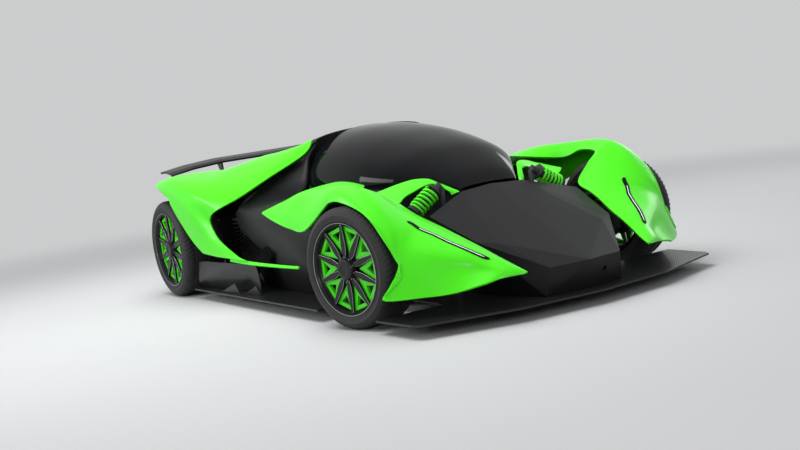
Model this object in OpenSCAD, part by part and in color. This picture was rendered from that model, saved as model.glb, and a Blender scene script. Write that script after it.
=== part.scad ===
// Low two-seat sports car with open front fender blades, a glass canopy and a tail wing.
// The nose points along -Y, the ground is z = 0, sizes are in mm.

/* [Body] */
// distance between the front and the rear axle
wheelbase = 2760; // [2700:10:2840]
// width over the rear haunches
body_w = 2120; // [2090:10:2180]
// height of the roof above the ground
roof_h = 1080; // [1065:5:1110]
// front axle to the tip of the splitter
front_overhang = 930; // [920:5:960]
// thickness of a painted panel
panel_t = 12; // [10:1:14]
// thickness of the canopy glass
glass_t = 8; // [6:1:10]
// width of the gap that a closed seam leaves
seam = 6; // [5:1:7]
// front axle to the end of the wing is the wheelbase and this much more
rear_overhang = 440; // [430:5:460]
// height of the underside of the floor
floor_z = 66; // [60:2:72]
// thickness of the floor plate
floor_t = 12; // [10:1:16]

/* [Wheels] */
// front tyre diameter
front_tyre_d = 684; // [676:2:686]
// front tyre width
front_tyre_w = 270; // [255:5:275]
// rear tyre diameter
rear_tyre_d = 716; // [708:2:720]
// rear tyre width
rear_tyre_w = 320; // [305:5:325]
// height of the front sidewall
front_wall = 80; // [74:1:84]
// height of the rear sidewall
rear_wall = 83; // [78:1:88]
// number of spokes
spoke_count = 10; // [8:1:12]
// turn of the front wheels as the car is parked, in degrees
parked_steer = 12.7; // [8:0.1:16]

/* [Suspension] */
// coils of a front spring
spring_turns = 6; // [5:1:7]
// wire of a front spring
spring_wire = 15; // [13:1:16]
// outer diameter of a front spring
spring_d = 108; // [104:1:112]

/* [Details] */
// vanes in each side intake
vane_count = 22; // [12:1:26]
// strakes under the tail
strake_count = 6; // [4:2:8]
// thread hole of the towing eye
eye_bore_d = 18; // [14:1:20]
// drawn steps of a round
round_steps = 48; // [40:4:64]

/* [Hidden] */
$fn = round_steps;
axle_f = -(front_overhang + wheelbase + rear_overhang) / 2 + front_overhang;
axle_r = axle_f + wheelbase;
floor_top = floor_z + floor_t;
seat_gap = 0.3;
stand_z = floor_top + seat_gap;

// the tables below hold the left side as measured from the front axle in the photo's proportions:
// sx, sy and sz carry a number from there to the car as it is sized above
drawn_w = 2120;
drawn_base = 2760;
grow_f = front_tyre_d / 684;
grow_r = rear_tyre_d / 716;
function sx(x) = x * body_w / drawn_w;
function sy(y) = axle_f + lookup(y, [
    [-930, -front_overhang], [-470, -470 * grow_f], [470, 470 * grow_f],
    [1900, wheelbase - 860 * grow_r], [3060, wheelbase + 300 * grow_r], [3200, wheelbase + rear_overhang]]);
function sz(z) = z < 250 ? z : lookup(z, [
    [250, 250], [700, 700 + max(0, front_tyre_d - 684)], [1080, roof_h]]);
function place(p) = [sx(p[0]), sy(p[1]), sz(p[2])];

front_r = front_tyre_d / 2;
rear_r = rear_tyre_d / 2;
king_x = sx(885);
king_off = 40;
wheel_x_r = sx(912);
wishbone_in = 330;

// smooth surfaces: rows and columns of points, refined by a curve through them
function curve(a, b, c, d, t) =
    0.5 * (2 * b + (c - a) * t + (2 * a - 5 * b + 4 * c - d) * t * t
    + (3 * b - a - 3 * c + d) * t * t * t);
function fine(v, n) = [
    for (i = [0:len(v) - 2])
        for (k = [0:n - 1])
            curve(v[max(0, i - 1)], v[i], v[i + 1], v[min(len(v) - 1, i + 2)], k / n),
    v[len(v) - 1]
];
function net(g, nr, nc) = [for (row = fine(g, nr)) fine(row, nc)];
function placed(g) = [for (row = g) [for (p = row) place(p)]];
function unit(v) = v / max(norm(v), 0.000001);
function lean(g, i, j) = unit(cross(
    g[i][min(j + 1, len(g[0]) - 1)] - g[i][max(j - 1, 0)],
    g[min(i + 1, len(g) - 1)][j] - g[max(i - 1, 0)][j]));

// closed sheet: rows run to the rear, columns run outward, the thickness goes inward
module sheet(g, t) {
    nr = len(g);
    nc = len(g[0]);
    k = nr * nc;
    top = [for (row = g) each row];
    low = [for (i = [0:nr - 1]) for (j = [0:nc - 1]) g[i][j] - t * lean(g, i, j)];
    quads = [
        for (i = [0:nr - 2]) for (j = [0:nc - 2]) [i * nc + j, (i + 1) * nc + j, (i + 1) * nc + j + 1, i * nc + j + 1]
    ];
    faces = concat(
        [for (q = quads) [q[0], q[1], q[2]]],
        [for (q = quads) [q[0], q[2], q[3]]],
        [for (q = quads) [k + q[0], k + q[2], k + q[1]]],
        [for (q = quads) [k + q[0], k + q[3], k + q[2]]],
        [for (j = [0:nc - 2]) each rim(j, j + 1, k)],
        [for (j = [0:nc - 2]) each rim((nr - 1) * nc + j + 1, (nr - 1) * nc + j, k)],
        [for (i = [0:nr - 2]) each rim((i + 1) * nc, i * nc, k)],
        [for (i = [0:nr - 2]) each rim(i * nc + nc - 1, (i + 1) * nc + nc - 1, k)]
    );
    polyhedron(points = concat(top, low), faces = faces, convexity = 8);
}
function rim(a, b, k) = [[a, b, b + k], [a, b + k, a + k]];

// flat plate with a polygon outline, thickness t along the given direction
module slab(pts, off) {
    n = len(pts);
    polyhedron(
        points = concat(pts, [for (p = pts) p + off]),
        faces = concat(
            [[for (i = [0:n - 1]) i]],
            [[for (i = [0:n - 1]) 2 * n - 1 - i]],
            [for (i = [0:n - 1]) [(i + 1) % n, i, i + n, (i + 1) % n + n]]
        ),
        convexity = 6
    );
}
module both() {
    children();
    mirror([1, 0, 0]) children();
}
// round bar between two points
module bar(a, b, d) {
    v = b - a;
    l = norm(v);
    translate(a) rotate([0, acos(v[2] / l), atan2(v[1], v[0])]) cylinder(d = d, h = l);
}
module along_x(p) {
    translate(p) rotate([0, 90, 0]) children();
}

// fender blade: tip in front, over the wheel, leaf behind
// columns: inner edge, inner slope, crest, outer slope, crease, lip or arch edge
fender_rows = [
    [[410, -850, 249], [414, -852, 251], [419, -854, 251], [424, -855, 249], [429, -855, 246], [433, -854, 242]],
    [[425, -774, 281], [450, -784, 290], [477, -792, 289], [505, -798, 278], [528, -800, 260], [550, -797, 236]],
    [[454, -667, 331], [500, -680, 342], [545, -692, 336], [580, -698, 312], [605, -698, 280], [650, -754, 221]],
    [[476, -565, 377], [545, -582, 394], [612, -600, 387], [672, -615, 356], [718, -612, 310], [755, -668, 194]],
    [[498, -459, 421], [590, -466, 447], [684, -488, 443], [770, -525, 405], [830, -545, 318], [880, -560, 188]],
    [[529, -341, 474], [640, -350, 508], [752, -385, 505], [850, -440, 448], [915, -465, 345], [1035, -400, 195]],
    [[540, -290, 495], [650, -298, 535], [758, -330, 545], [855, -385, 510], [920, -428, 420], [932, -456, 300]],
    [[553, -228, 519], [668, -236, 568], [776, -268, 592], [868, -325, 575], [926, -378, 515], [945, -411, 426]],
    [[580, -92, 572], [682, -110, 630], [786, -150, 676], [885, -215, 676], [948, -270, 624], [965, -335, 556]],
    [[700, -60, 674], [760, -68, 708], [832, -86, 737], [912, -118, 744], [966, -150, 712], [985, -202, 653]],
    [[800, -16, 732], [836, -18, 756], [878, -20, 774], [932, -24, 780], [980, -20, 752], [1002, -13, 708]],
    [[820, 155, 744], [850, 150, 772], [884, 142, 790], [934, 130, 794], [980, 145, 764], [999, 130, 704]],
    [[770, 275, 708], [808, 280, 766], [856, 285, 790], [918, 285, 780], [966, 290, 722], [985, 255, 660]],
    [[590, 450, 744], [680, 480, 778], [778, 505, 786], [880, 522, 754], [952, 538, 650], [980, 546, 533]],
    [[690, 745, 738], [766, 775, 752], [838, 800, 744], [900, 815, 712], [943, 810, 630], [960, 782, 537]],
    [[805, 1000, 693], [840, 1012, 697], [872, 1022, 687], [902, 1030, 660], [926, 1032, 616], [942, 1031, 572]],
    [[898, 1258, 634], [903, 1261, 633], [908, 1263, 631], [913, 1264, 628], [917, 1263, 623], [920, 1260, 618]]
];
module fender() {
    color("#58dc12") sheet(fender_skin, panel_t);
    color("#1a1b1e") stay(place([560, -330, 0]), sz(469.5), 22);
}
fender_skin = placed(net(fender_rows, 2, 2));
// upright round stay that stands on the floor plate
module stay(p, top, d) {
    translate([p[0], p[1], stand_z]) cylinder(d = d, h = top - stand_z);
}

// nose: flat faceted deck with a notch at each front corner, hollow inside
nose_deck = [[0, -10, 655], [215, -26, 642], [525, -142, 549], [463, -487, 400], [365, -545, 382], [240, -812, 235], [0, -845, 236]];
nose_foot = [[0, -800, stand_z], [256, -779, stand_z], [330, -453, stand_z], [335, -160, stand_z], [200, -30, stand_z], [0, -14, stand_z]];
module nose_hull(shift, cut) {
    hull() for (s = [-1, 1]) for (p = concat(nose_deck, nose_foot))
        translate([s * max(1, sx(p[0]) - cut), sy(p[1] + shift), p[2] + (p[2] > 200 ? -cut * 1.2 : cut)]) cube(0.01, center = true);
}
module nose() {
    color("#202226") difference() {
        union() {
            difference() {
                nose_hull(0, 0);
                // the hollow is open to the rear
                nose_hull(1.4 * panel_t, panel_t);
            }
            // boss of the towing eye
            translate([120, sy(-802), 165]) rotate([-90, 0, 0]) cylinder(d = 2 * eye_bore_d + 16, h = 64);
        }
        translate([120, sy(-802) + 4 - 100, 165]) rotate([-90, 0, 0]) cylinder(d = eye_bore_d + 10, h = 100);
        translate([120, sy(-802), 165]) rotate([-90, 0, 0]) cylinder(d = eye_bore_d, h = 100);
    }
}

// panels beside the front springs
// columns: edge along the canopy, middle, edge over the spring
cowl_rows = [
    [[217, -8, 643], [236, 0, 638], [262, 14, 628]],
    [[245, 46, 672], [256, 34, 664], [270, 24, 655]],
    [[284, 101, 705], [296, 84, 701], [310, 84, 699]],
    [[322, 152, 735], [344, 118, 720], [368, 108, 705]],
    [[390, 205, 742], [420, 152, 712], [446, 116, 682]],
    [[478, 248, 728], [502, 165, 694], [524, 106, 660]],
    [[560, 292, 706], [570, 188, 672], [580, 90, 632]],
    [[632, 326, 690], [634, 226, 672], [636, 126, 656]]
];
module cowl_panels() {
    color("#58dc12") both() {
        sheet(mirror_rows(placed(net(cowl_rows, 2, 2))), 8);
        stay(place([560, 215, 0]), sz(679), 18);
    }
}
function mirror_rows(g) = [for (row = g) [for (i = [len(row) - 1:-1:0]) row[i]]];

// canopy hinge: two pins under the rear of the nose
hinge = [120, sy(-140), sz(535)];
hinge_pin_d = 16;
hinge_play = 0.2;
nose_floor = stand_z + panel_t + seat_gap;
arm_t = 14;
hinge_reach = norm([sy(4) - hinge[1], sz(644) - hinge[2]]);
module canopy_hinges() {
    color("#3a3c40") both() {
        for (side = [-1, 1]) translate([hinge[0] + side * (arm_t + 1) - 5, hinge[1] - 30, nose_floor])
            cube([10, 60, hinge[2] + 10 - nose_floor]);
        along_x([hinge[0] - arm_t - 2, hinge[1], hinge[2]]) cylinder(d = hinge_pin_d, h = 2 * arm_t + 4);
    }
}
// swan-neck arm that carries the canopy round the rear edge of the nose
module hinge_arm() {
    translate([hinge[0] - arm_t / 2, hinge[1], hinge[2]]) rotate([90, 0, 90]) linear_extrude(arm_t) difference() {
        union() {
            circle(d = 40);
            polygon([[-4, -18], [hinge_reach * 0.94, -92], [hinge_reach * 1.06, -60], [4, 18]]);
            difference() {
                circle(r = hinge_reach + 24);
                circle(r = hinge_reach + 4);
                polygon([[0, 0], [400, 320], [-400, 400], [-400, -400], [400, -400], [400, -190]]);
                // room for the front edge of the glass
                translate([sy(0) - hinge[1], sz(646) - hinge[2]]) square(200);
            }
        }
        circle(d = hinge_pin_d + 2 * hinge_play);
    }
}

// canopy dome: place along the car, half width, base height, crown height
dome_rows = [
    [4, 200, 650, 668], [100, 262, 688, 745], [250, 360, 716, 834], [400, 450, 716, 908],
    [600, 500, 716, 974], [800, 520, 716, 1024], [1060, 524, 716, 1064], [1340, 518, 716, 1080]
];
dome_angles = [0, 16, 34, 54, 73, 90];
function dome_point(s, a, grow) = [
    (s[1] + grow) * pow(cos(a), 0.86), s[0],
    s[2] + (s[3] - s[2] + grow) * pow(sin(a), 0.92)];
function dome(rows, angles, grow) = [for (s = rows) [
    for (a = angles) let (p = dome_point(s, a, grow)) [-p[0], p[1], p[2]],
    for (i = [len(angles) - 2:-1:0]) dome_point(s, angles[i], grow)]];
module canopy_glass() {
    color([0.05, 0.05, 0.07, 0.6]) sheet(placed(net(dome(dome_rows, dome_angles, 0), 2, 1)), glass_t);
}
module canopy_frame() {
    color("#121316") {
        both() {
            // the strip lies deeper where the front edge of the glass leans over it
            sheet(placed(net([for (s = dome_rows)
                let (drop = s[0] < 50 ? 8 : s[0] < 300 ? 5.4 : s[0] < 700 ? 2.8 : 1.8, z = s[2] - drop) [
                [s[1] - 34, s[0], z], [s[1] - 12, s[0], z], [s[1] - 2, s[0], z - 0.8]]], 2, 1)), 12);
            hinge_arm();
        }
        // front bow that joins the two arms
        translate([-sx(188), sy(10), sz(650) - 24]) cube([2 * sx(188), 18, 18]);
        translate([-sx(500), sy(1340) - 24, sz(716) - 14]) cube([2 * sx(500), 20, 12]);
    }
}

// body side: canopy base, shoulder, ridge, foot
// front part: canopy base, shoulder, ridge, foot
pod_rows = [
    [[395, 200, 700], [402, 200, 680], [408, 200, 640], [410, 200, 560], [410, 200, 470], [410, 200, 350], [408, 200, 220], [405, 200, 79]],
    [[474, 330, 700], [484, 330, 690], [494, 330, 650], [500, 330, 570], [500, 330, 470], [500, 330, 350], [500, 330, 220], [500, 330, 79]],
    [[502, 450, 702], [540, 450, 696], [585, 450, 668], [620, 450, 590], [630, 450, 480], [630, 450, 360], [625, 450, 220], [620, 450, 79]],
    [[520, 640, 702], [600, 640, 696], [690, 640, 668], [756, 640, 600], [776, 640, 480], [766, 640, 350], [735, 640, 200], [700, 640, 79]],
    [[534, 900, 702], [630, 900, 694], [745, 900, 662], [826, 900, 596], [860, 900, 480], [850, 900, 350], [805, 900, 200], [760, 900, 79]],
    [[538, 1200, 702], [650, 1200, 692], [785, 1200, 664], [878, 1200, 620], [898, 1200, 520], [860, 1200, 370], [805, 1200, 200], [760, 1200, 79]],
    [[536, 1352, 702], [650, 1352, 692], [790, 1352, 668], [890, 1352, 624], [900, 1352, 520], [858, 1352, 370], [805, 1352, 200], [760, 1352, 79]]
];
// rear part: rises to the roof under the bow of the rear quarter and ends in a bullet
bullet_rows = [
    [[404, 1348, 984], [476, 1348, 908], [498, 1348, 818], [536, 1348, 722], [630, 1347, 676], [775, 1347, 650], [868, 1347, 610], [878, 1347, 516], [838, 1347, 370], [786, 1347, 200], [742, 1347, 79]],
    [[432, 1347, 1000], [500, 1347, 922], [524, 1347, 830], [560, 1347, 735], [645, 1347, 690], [785, 1347, 664], [884, 1347, 620], [894, 1347, 520], [852, 1347, 370], [799, 1347, 200], [754, 1347, 79]],
    [[470, 1450, 930], [520, 1450, 878], [556, 1450, 806], [600, 1450, 735], [680, 1450, 690], [795, 1450, 662], [884, 1450, 622], [892, 1450, 520], [846, 1450, 370], [792, 1450, 200], [748, 1450, 79]],
    [[560, 1600, 862], [605, 1600, 816], [640, 1600, 770], [685, 1600, 724], [750, 1600, 686], [825, 1600, 655], [882, 1600, 624], [886, 1600, 520], [836, 1600, 370], [782, 1600, 200], [738, 1600, 79]],
    [[700, 1740, 752], [735, 1740, 728], [766, 1740, 706], [800, 1740, 686], [832, 1740, 664], [856, 1740, 644], [872, 1740, 616], [868, 1740, 520], [818, 1740, 370], [766, 1740, 200], [722, 1740, 79]],
    [[766, 1890, 676], [782, 1890, 662], [798, 1890, 648], [813, 1890, 634], [826, 1890, 618], [836, 1890, 603], [842, 1890, 588], [830, 1890, 500], [786, 1890, 360], [738, 1890, 200], [700, 1890, 79]],
    [[640, 1985, 650], [656, 1985, 640], [672, 1985, 628], [688, 1985, 612], [702, 1985, 596], [712, 1985, 578], [718, 1985, 560], [712, 1985, 480], [690, 1985, 350], [660, 1985, 200], [630, 1985, 79]],
    [[430, 2040, 620], [440, 2040, 612], [450, 2040, 600], [458, 2040, 586], [466, 2040, 570], [472, 2040, 552], [476, 2040, 530], [476, 2040, 450], [470, 2040, 340], [460, 2040, 200], [450, 2040, 79]]
];
vane_low = [[868, 1760, 560], [845, 1120, 400]];
module pod() {
    color("#1a1b1e") {
        sheet(placed(net(pod_rows, 2, 2)), panel_t);
        sheet(placed(net(bullet_rows, 2, 1)), panel_t);
        // fan of thin vanes behind the bow of the rear quarter
        for (i = [0:vane_count - 1]) let (a = -8 + 150 * i / (vane_count - 1)) vane(a);
    }
}
// thin blade that stands out from the body side and points along the given angle
vane_hub = [800, 1560, 520];
module vane(a) {
    inner = 190;
    outer = 300 - 30 * sin(a);
    translate(place(vane_hub)) rotate([-a, 0, 0]) translate([-40, inner, -2]) cube([140, outer - inner, 4]);
}

// rear quarter: rays from the inner edge of the bow to its outer edge
quarter_rows = [
    [[430, 1369, 1025], [434, 1377, 1023], [438, 1385, 1021], [442, 1393, 1019], [446, 1401, 1017]],
    [[500, 1384, 942], [500, 1404, 965], [497, 1427, 980], [490, 1452, 990], [480, 1476, 996]],
    [[680, 1592, 819], [664, 1630, 865], [622, 1672, 908], [566, 1722, 945], [500, 1767, 965]],
    [[870, 1704, 714], [856, 1800, 785], [784, 1900, 855], [664, 1990, 916], [500, 2084, 943]],
    [[970, 1842, 655], [985, 1970, 735], [938, 2130, 825], [790, 2280, 874], [600, 2430, 882]],
    [[995, 1930, 620], [1032, 2120, 756], [1008, 2380, 850], [905, 2600, 874], [700, 2790, 874]],
    [[1000, 1967, 575], [1052, 2180, 712], [1046, 2480, 826], [990, 2750, 866], [840, 2990, 866]],
    [[1000, 1937, 513], [1054, 2150, 622], [1062, 2410, 736], [1040, 2720, 804], [980, 3035, 824]],
    [[1000, 1855, 446], [1034, 2030, 502], [1052, 2210, 580], [1060, 2410, 662], [1060, 2600, 748]],
    [[998, 1720, 390], [1020, 1900, 416], [1035, 2080, 462], [1045, 2260, 516], [1050, 2440, 590]],
    [[995, 1561, 336], [1010, 1750, 354], [1025, 1920, 374], [1035, 2080, 396], [1040, 2260, 440]],
    [[992, 1430, 314], [1003, 1600, 322], [1013, 1760, 330], [1022, 1930, 338], [1030, 2110, 352]]
];
spear_rows = [
    [[990, 668, 318], [1000, 668, 304]],
    [[990, 1017, 314], [1002, 1017, 298]],
    [[990, 1440, 316], [1004, 1440, 296]],
    [[1006, 1700, 334], [1014, 1700, 304]]
];
module quarter() {
    color("#58dc12") {
        sheet(placed(net(quarter_rows, 2, 2)), panel_t);
        sheet(placed(net(spear_rows, 1, 1)), panel_t);
    }
}

// engine cover between the shoulders
cover_rows = [
    [1352, 420, 1012, 1076], [1470, 456, 978, 1062], [1767, 478, 946, 1012],
    [2084, 480, 924, 932], [2400, 560, 868, 874], [2790, 650, 852, 858], [2990, 780, 848, 852]
];
module engine_cover() {
    color("#141518") {
        sheet(placed(net([for (s = cover_rows) [for (a = [-90, -60, -30, 0, 30, 60, 90])
            [s[1] * sin(a), s[0], s[2] + (s[3] - s[2]) * pow(cos(a), 0.8)]]], 2, 1)), panel_t);
        stay(place([0, 2620, 0]), sz(860), 30);
    }
}

// tail
tail_rows = [
    [[-800, 3000, 830], [-400, 3020, 836], [0, 3026, 838], [400, 3020, 836], [800, 3000, 830]],
    [[-820, 3032.3, 722], [-400, 3062, 700], [0, 3070, 700], [400, 3062, 700], [820, 3032.3, 722]],
    [[-690, 3028, 560], [-400, 3040, 540], [0, 3046, 530], [400, 3040, 540], [690, 3028, 560]],
    [[-640, 2960, 330], [-400, 2970, 320], [0, 2974, 315], [400, 2970, 320], [640, 2960, 330]]
];
tail_ledge = sz(838) + 12;
module tail_panel() {
    color("#1a1b1e") {
        sheet(placed(net(tail_rows, 1, 1)), panel_t);
        // ledge that carries the wing, and two legs to the floor
        translate([-sx(780), sy(2998), sz(838)]) cube([2 * sx(780), 56, tail_ledge - sz(838)]);
        both() translate([sx(500), sy(2905), stand_z]) cube([24, 30, sz(340) - stand_z]);
        both() translate([sx(500), sy(2905), sz(320)]) cube([24, sy(3030) - sy(2905), 20]);
    }
}
function tail_at(f, k) = place(
    (tail_rows[0][3] * (1 - k) + tail_rows[0][4] * k) * (1 - f) + (tail_rows[1][3] * (1 - k) + tail_rows[1][4] * k) * f);
module tail_lamps() {
    // a strip that lies on the straight stretch of the tail, between its third and last column
    color("#b01010") both() sheet([for (f = [0.55, 0.78]) [for (k = [0.1, 0.9])
        tail_at(f, k) + [0, 10.4, 0]]], 10 - seat_gap);
}
module rear_wing() {
    wing_rows = [for (s = [[-880, 895], [-700, 922], [-450, 940], [0, 940], [450, 940], [700, 922], [880, 895]])
        [[s[0], 2950, s[1] - 2], [s[0], 2990, s[1] + 14], [s[0], 3090, s[1] + 28], [s[0], 3196, s[1] + 24]]];
    color("#101114") {
        sheet([for (row = wing_rows) [for (i = [3:-1:0]) place(row[i])]], 16);
        both() translate([sx(430), sy(2998), 0]) rotate([90, 0, 90]) linear_extrude(12)
            polygon([[4, tail_ledge + seat_gap], [52, tail_ledge + seat_gap], [130, sz(950)], [10, sz(948)]]);
    }
}

// floor
floor_half = [
    [0, -930], [500, -876], [960, -704], [1000, -690], [1020, -640], [1040, -300], [620, -300],
    [600, -200], [600, 330], [640, 420], [1030, 420], [1030, 2420], [720, 2420], [640, 2500], [620, 2940]
];
module floor_plate() {
    half = [for (p = floor_half) [sx(p[0]), sy(p[1])]];
    back = [for (i = [len(half) - 1:-1:1]) [-half[i][0], half[i][1]]];
    color("#131416") translate([0, 0, floor_z]) linear_extrude(floor_t) polygon(concat(half, back));
}
module diffuser() {
    run = sy(3130) - sy(2940);
    color("#131416") translate([0, sy(2940) + seat_gap, 0]) {
        translate([-sx(610), 0, 0]) rotate([90, 0, 90]) linear_extrude(2 * sx(610)) polygon([
            [0, floor_z], [0, floor_top], [run - 4, floor_top + 92], [run, floor_top + 80]]);
        for (i = [0:strake_count - 1]) let (x = (i - (strake_count - 1) / 2) * 1200 / strake_count)
            translate([sx(x) - 4, 0, 0]) rotate([90, 0, 90]) linear_extrude(8)
                polygon([[10, floor_z + 9], [40, floor_z], [run - 10, floor_z + 20], [run - 4, floor_z + 88]]);
    }
}
// columns: lower edge at the floor, fold, upper edge under the rear quarter
fin_rows = [
    [[900, 1500, 78.3], [905, 1500, 150], [915, 1490, 230], [930, 1480, 278]],
    [[905, 1740, 78.3], [930, 1740, 170], [950, 1740, 236], [962, 1720, 280]],
    [[930, 2000, 78.3], [965, 2010, 160], [985, 2010, 215], [985, 2000, 280]],
    [[955, 2240, 78.3], [985, 2250, 140], [1000, 2260, 180], [996, 2230, 280]],
    [[960, 2362, 78.3], [990, 2366, 110], [1006, 2370, 140], [1000, 2330, 270]]
];
module side_fins() {
    color("#131416") both() {
        sheet(mirror_rows(placed(net(fin_rows, 2, 2))), 8);
        // two upright blades outside the panel
        for (f = [[975, 1690, 1000, 1960, 150], [945, 1400, 960, 1640, 140]])
            slab([place([f[0], f[1], stand_z]), place([f[2], f[3], stand_z]), place([f[0] + 8, f[1] + 50, f[4]])], [8, 0, 0]);
    }
}

// lamps
// strips on the fender blade, on the inner side of its crest
function lamp_w(i) = norm(fender_skin[i][4] - fender_skin[i][3]);
function lamp_at(i, f) = let (n = lean(fender_skin, i, 3))
    fender_skin[i][3] + (fender_skin[i][4] - fender_skin[i][3]) * f + n * (4 + seat_gap + 0.3);
module headlamps() {
    color("#dfe6ee") both() sheet([for (i = [4:13])
        [lamp_at(i, 0.5 - 8 / lamp_w(i)), lamp_at(i, 0.5 + min(0.48, 9 / lamp_w(i)))]], 4);
}

// cabin
tub_floor = stand_z + 12;
tub_rows = [for (s = dome_rows) [
    [s[1] - 40, s[0] + 60, s[2] - 30], [s[1] - 52, s[0] + 60, 400], [s[1] - 80, s[0] + 60, stand_z]]];
module tub() {
    color("#26282c") {
        intersection() {
            both() sheet(placed(tub_rows), 16);
            translate([-sx(600), sy(0), 0]) cube([2 * sx(600), sy(1330) - sy(0), sz(1000)]);
        }
        translate([0, 0, stand_z]) linear_extrude(12) polygon(concat(
            [for (r = tub_rows) [sx(r[2][0]) - 4, min(sy(r[2][1]), sy(1330))]],
            [for (i = [len(tub_rows) - 1:-1:0]) [4 - sx(tub_rows[i][2][0]), min(sy(tub_rows[i][2][1]), sy(1330))]]));
        translate([-sx(450), sy(1314), stand_z]) cube([2 * sx(450), 16, sz(680) - stand_z]);
        translate([-sx(112), sy(64), stand_z]) cube([2 * sx(112), 16, sz(610) - stand_z]);
    }
}
module seats() {
    color("#2c2e33") both() translate([sx(40), 0, 0]) rotate([90, 0, 90]) linear_extrude(sx(340))
        polygon([[sy(600), tub_floor + seat_gap], [sy(990), tub_floor + seat_gap], [sy(1296), sz(620)], [sy(1290), sz(690)],
            [sy(1230), sz(670)], [sy(1000), 250], [sy(620), 230], [sy(580), 200]]);
}
module dashboard() {
    color("#202226") {
        translate([-sx(258), sy(290), 0]) rotate([90, 0, 90]) linear_extrude(2 * sx(258))
            polygon([[0, sz(560)], [0, sz(480)], [120, sz(460)], [180, sz(560)], [150, sz(640)], [60, sz(640)]]);
        translate([-60, sy(320), tub_floor + seat_gap]) cube([120, 80, sz(480) - tub_floor]);
    }
}
module steering_wheel() {
    color("#15161a") translate([sx(200), sy(290) + 272, sz(560)]) rotate([110, 0, 0]) {
        rotate_extrude() translate([140, 0]) circle(d = 26, $fn = 16);
        cylinder(d = 70, h = 24, center = true);
        for (a = [0, 120, 240]) rotate(a + 90) translate([20, -12, -6]) cube([118, 24, 12]);
        cylinder(d = 30, h = 106);
    }
}
module engine_block() {
    color("#8a8d92") {
        translate([-200, sy(1480), 200]) cube([400, sy(2040) - sy(1480), 300]);
        both() translate([0, sy(1500), 480]) rotate([0, 40, 0]) translate([-60, 0, 0]) cube([160, sy(2000) - sy(1500), 190]);
        for (y = [1560, 1920]) translate([-120, sy(y), stand_z]) cube([240, 60, 201 - stand_z]);
    }
}

// running gear
// one wishbone: two bars from the chassis pivots to a ball-joint housing
module wishbone(pivots, tip, d) {
    translate(tip + [0, 0, -d * 0.75]) cylinder(d = 62, h = d * 1.5);
    for (p = pivots) let (side = sign(p[1] - tip[1]))
        bar(p, tip + [-14, 16 * side, 0], d);
}
ball_low = [king_x, sy(0), 212];
ball_top = [king_x, sy(0), 470];
ball_h = 30;
eye_pin_d = 16;
// where a leg of the upper arm passes the spring leg
function leg_y(inner, outer) = let (f = (damp_eye[0] - wishbone_in) / (king_x - 14 - wishbone_in))
    sy(inner) * (1 - f) + (sy(0) + outer) * f;
module front_arms() {
    color("#3a3c40") both() {
        for (tip = [ball_low, ball_top])
            wishbone([[wishbone_in, sy(-52), tip[2]], [wishbone_in, sy(130), tip[2]]], tip, 20);
        for (y = [-52, 130]) translate([wishbone_in - 20, sy(y) - 14, stand_z]) cube([34, 28, ball_top[2] + 16 - stand_z]);
        // cross tube that carries the spring leg
        translate([damp_eye[0], leg_y(-52, -16) + 4, damp_eye[2]]) rotate([-90, 0, 0])
            cylinder(d = eye_pin_d, h = leg_y(130, 16) - leg_y(-52, -16) - 8);
    }
}
rear_low = [wheel_x_r - 110, axle_r, 215];
rear_top = [wheel_x_r - 110, axle_r, 500];
module rear_arms() {
    color("#3a3c40") both() {
        for (tip = [rear_low, rear_top])
            wishbone([[320, axle_r - 150, tip[2]], [320, axle_r + 130, tip[2]]], tip, 24);
        for (y = [-150, 130]) translate([300, axle_r + y - 15, stand_z]) cube([34, 30, rear_top[2] + 18 - stand_z]);
    }
}
damp_low = place([518, 20, 574]);
damp_top = place([378, 20, 666]);
damp_dir = unit(damp_top - damp_low);
damp_eye = [damp_low[0] - damp_dir[0] / damp_dir[2] * (damp_low[2] - ball_top[2]), damp_low[1], ball_top[2]];
module dampers() {
    color("#b9bec4") both() {
        bar(damp_low - damp_dir * 24, damp_top + damp_dir * 58, 44);
        bar(damp_low - damp_dir * 14, damp_low, spring_d - 16);
        bar(damp_top, damp_top + damp_dir * 12, spring_d - 16);
        difference() {
            union() {
                bar(damp_eye + damp_dir * 12, damp_low - damp_dir * 20, 24);
                translate(damp_eye + [0, -14, 0]) rotate([-90, 0, 0]) cylinder(d = 38, h = 28);
            }
            translate(damp_eye + [0, -30, 0]) rotate([-90, 0, 0]) cylinder(d = eye_pin_d + 2 * seat_gap, h = 60);
        }
        translate([damp_top[0] - 58, damp_top[1], stand_z]) cylinder(d = 30, h = damp_top[2] + 18 - stand_z);
    }
}
// wire of round section wound on a straight line
module coil(a, b, d, wire, turns) {
    v = b - a;
    l = norm(v);
    steps = 14 * turns;
    sides = 6;
    r = (d - wire) / 2;
    pts = [for (i = [0:steps]) for (k = [0:sides - 1]) let (w = 360 * turns * i / steps, q = 360 * k / sides)
        [(r + wire / 2 * cos(q)) * cos(w), (r + wire / 2 * cos(q)) * sin(w), l * i / steps + wire / 2 * sin(q)]];
    faces = concat(
        [[for (k = [0:sides - 1]) k]],
        [[for (k = [sides - 1:-1:0]) steps * sides + k]],
        [for (i = [0:steps - 1]) for (k = [0:sides - 1]) let (a0 = i * sides + k, b0 = i * sides + (k + 1) % sides)
            [a0, a0 + sides, b0 + sides, b0]]);
    translate(a) rotate([0, acos(v[2] / l), atan2(v[1], v[0])]) polyhedron(points = pts, faces = faces, convexity = 10);
}
module springs() {
    lift = damp_dir * (spring_wire / 2 + seat_gap);
    color("#d8dcdf") both() coil(damp_low + lift, damp_top - lift, spring_d, spring_wire, spring_turns);
}
hub_bore_d = 50;
hub_play = 0.2;
disc_in = 120;
hub_in = 62;
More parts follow.
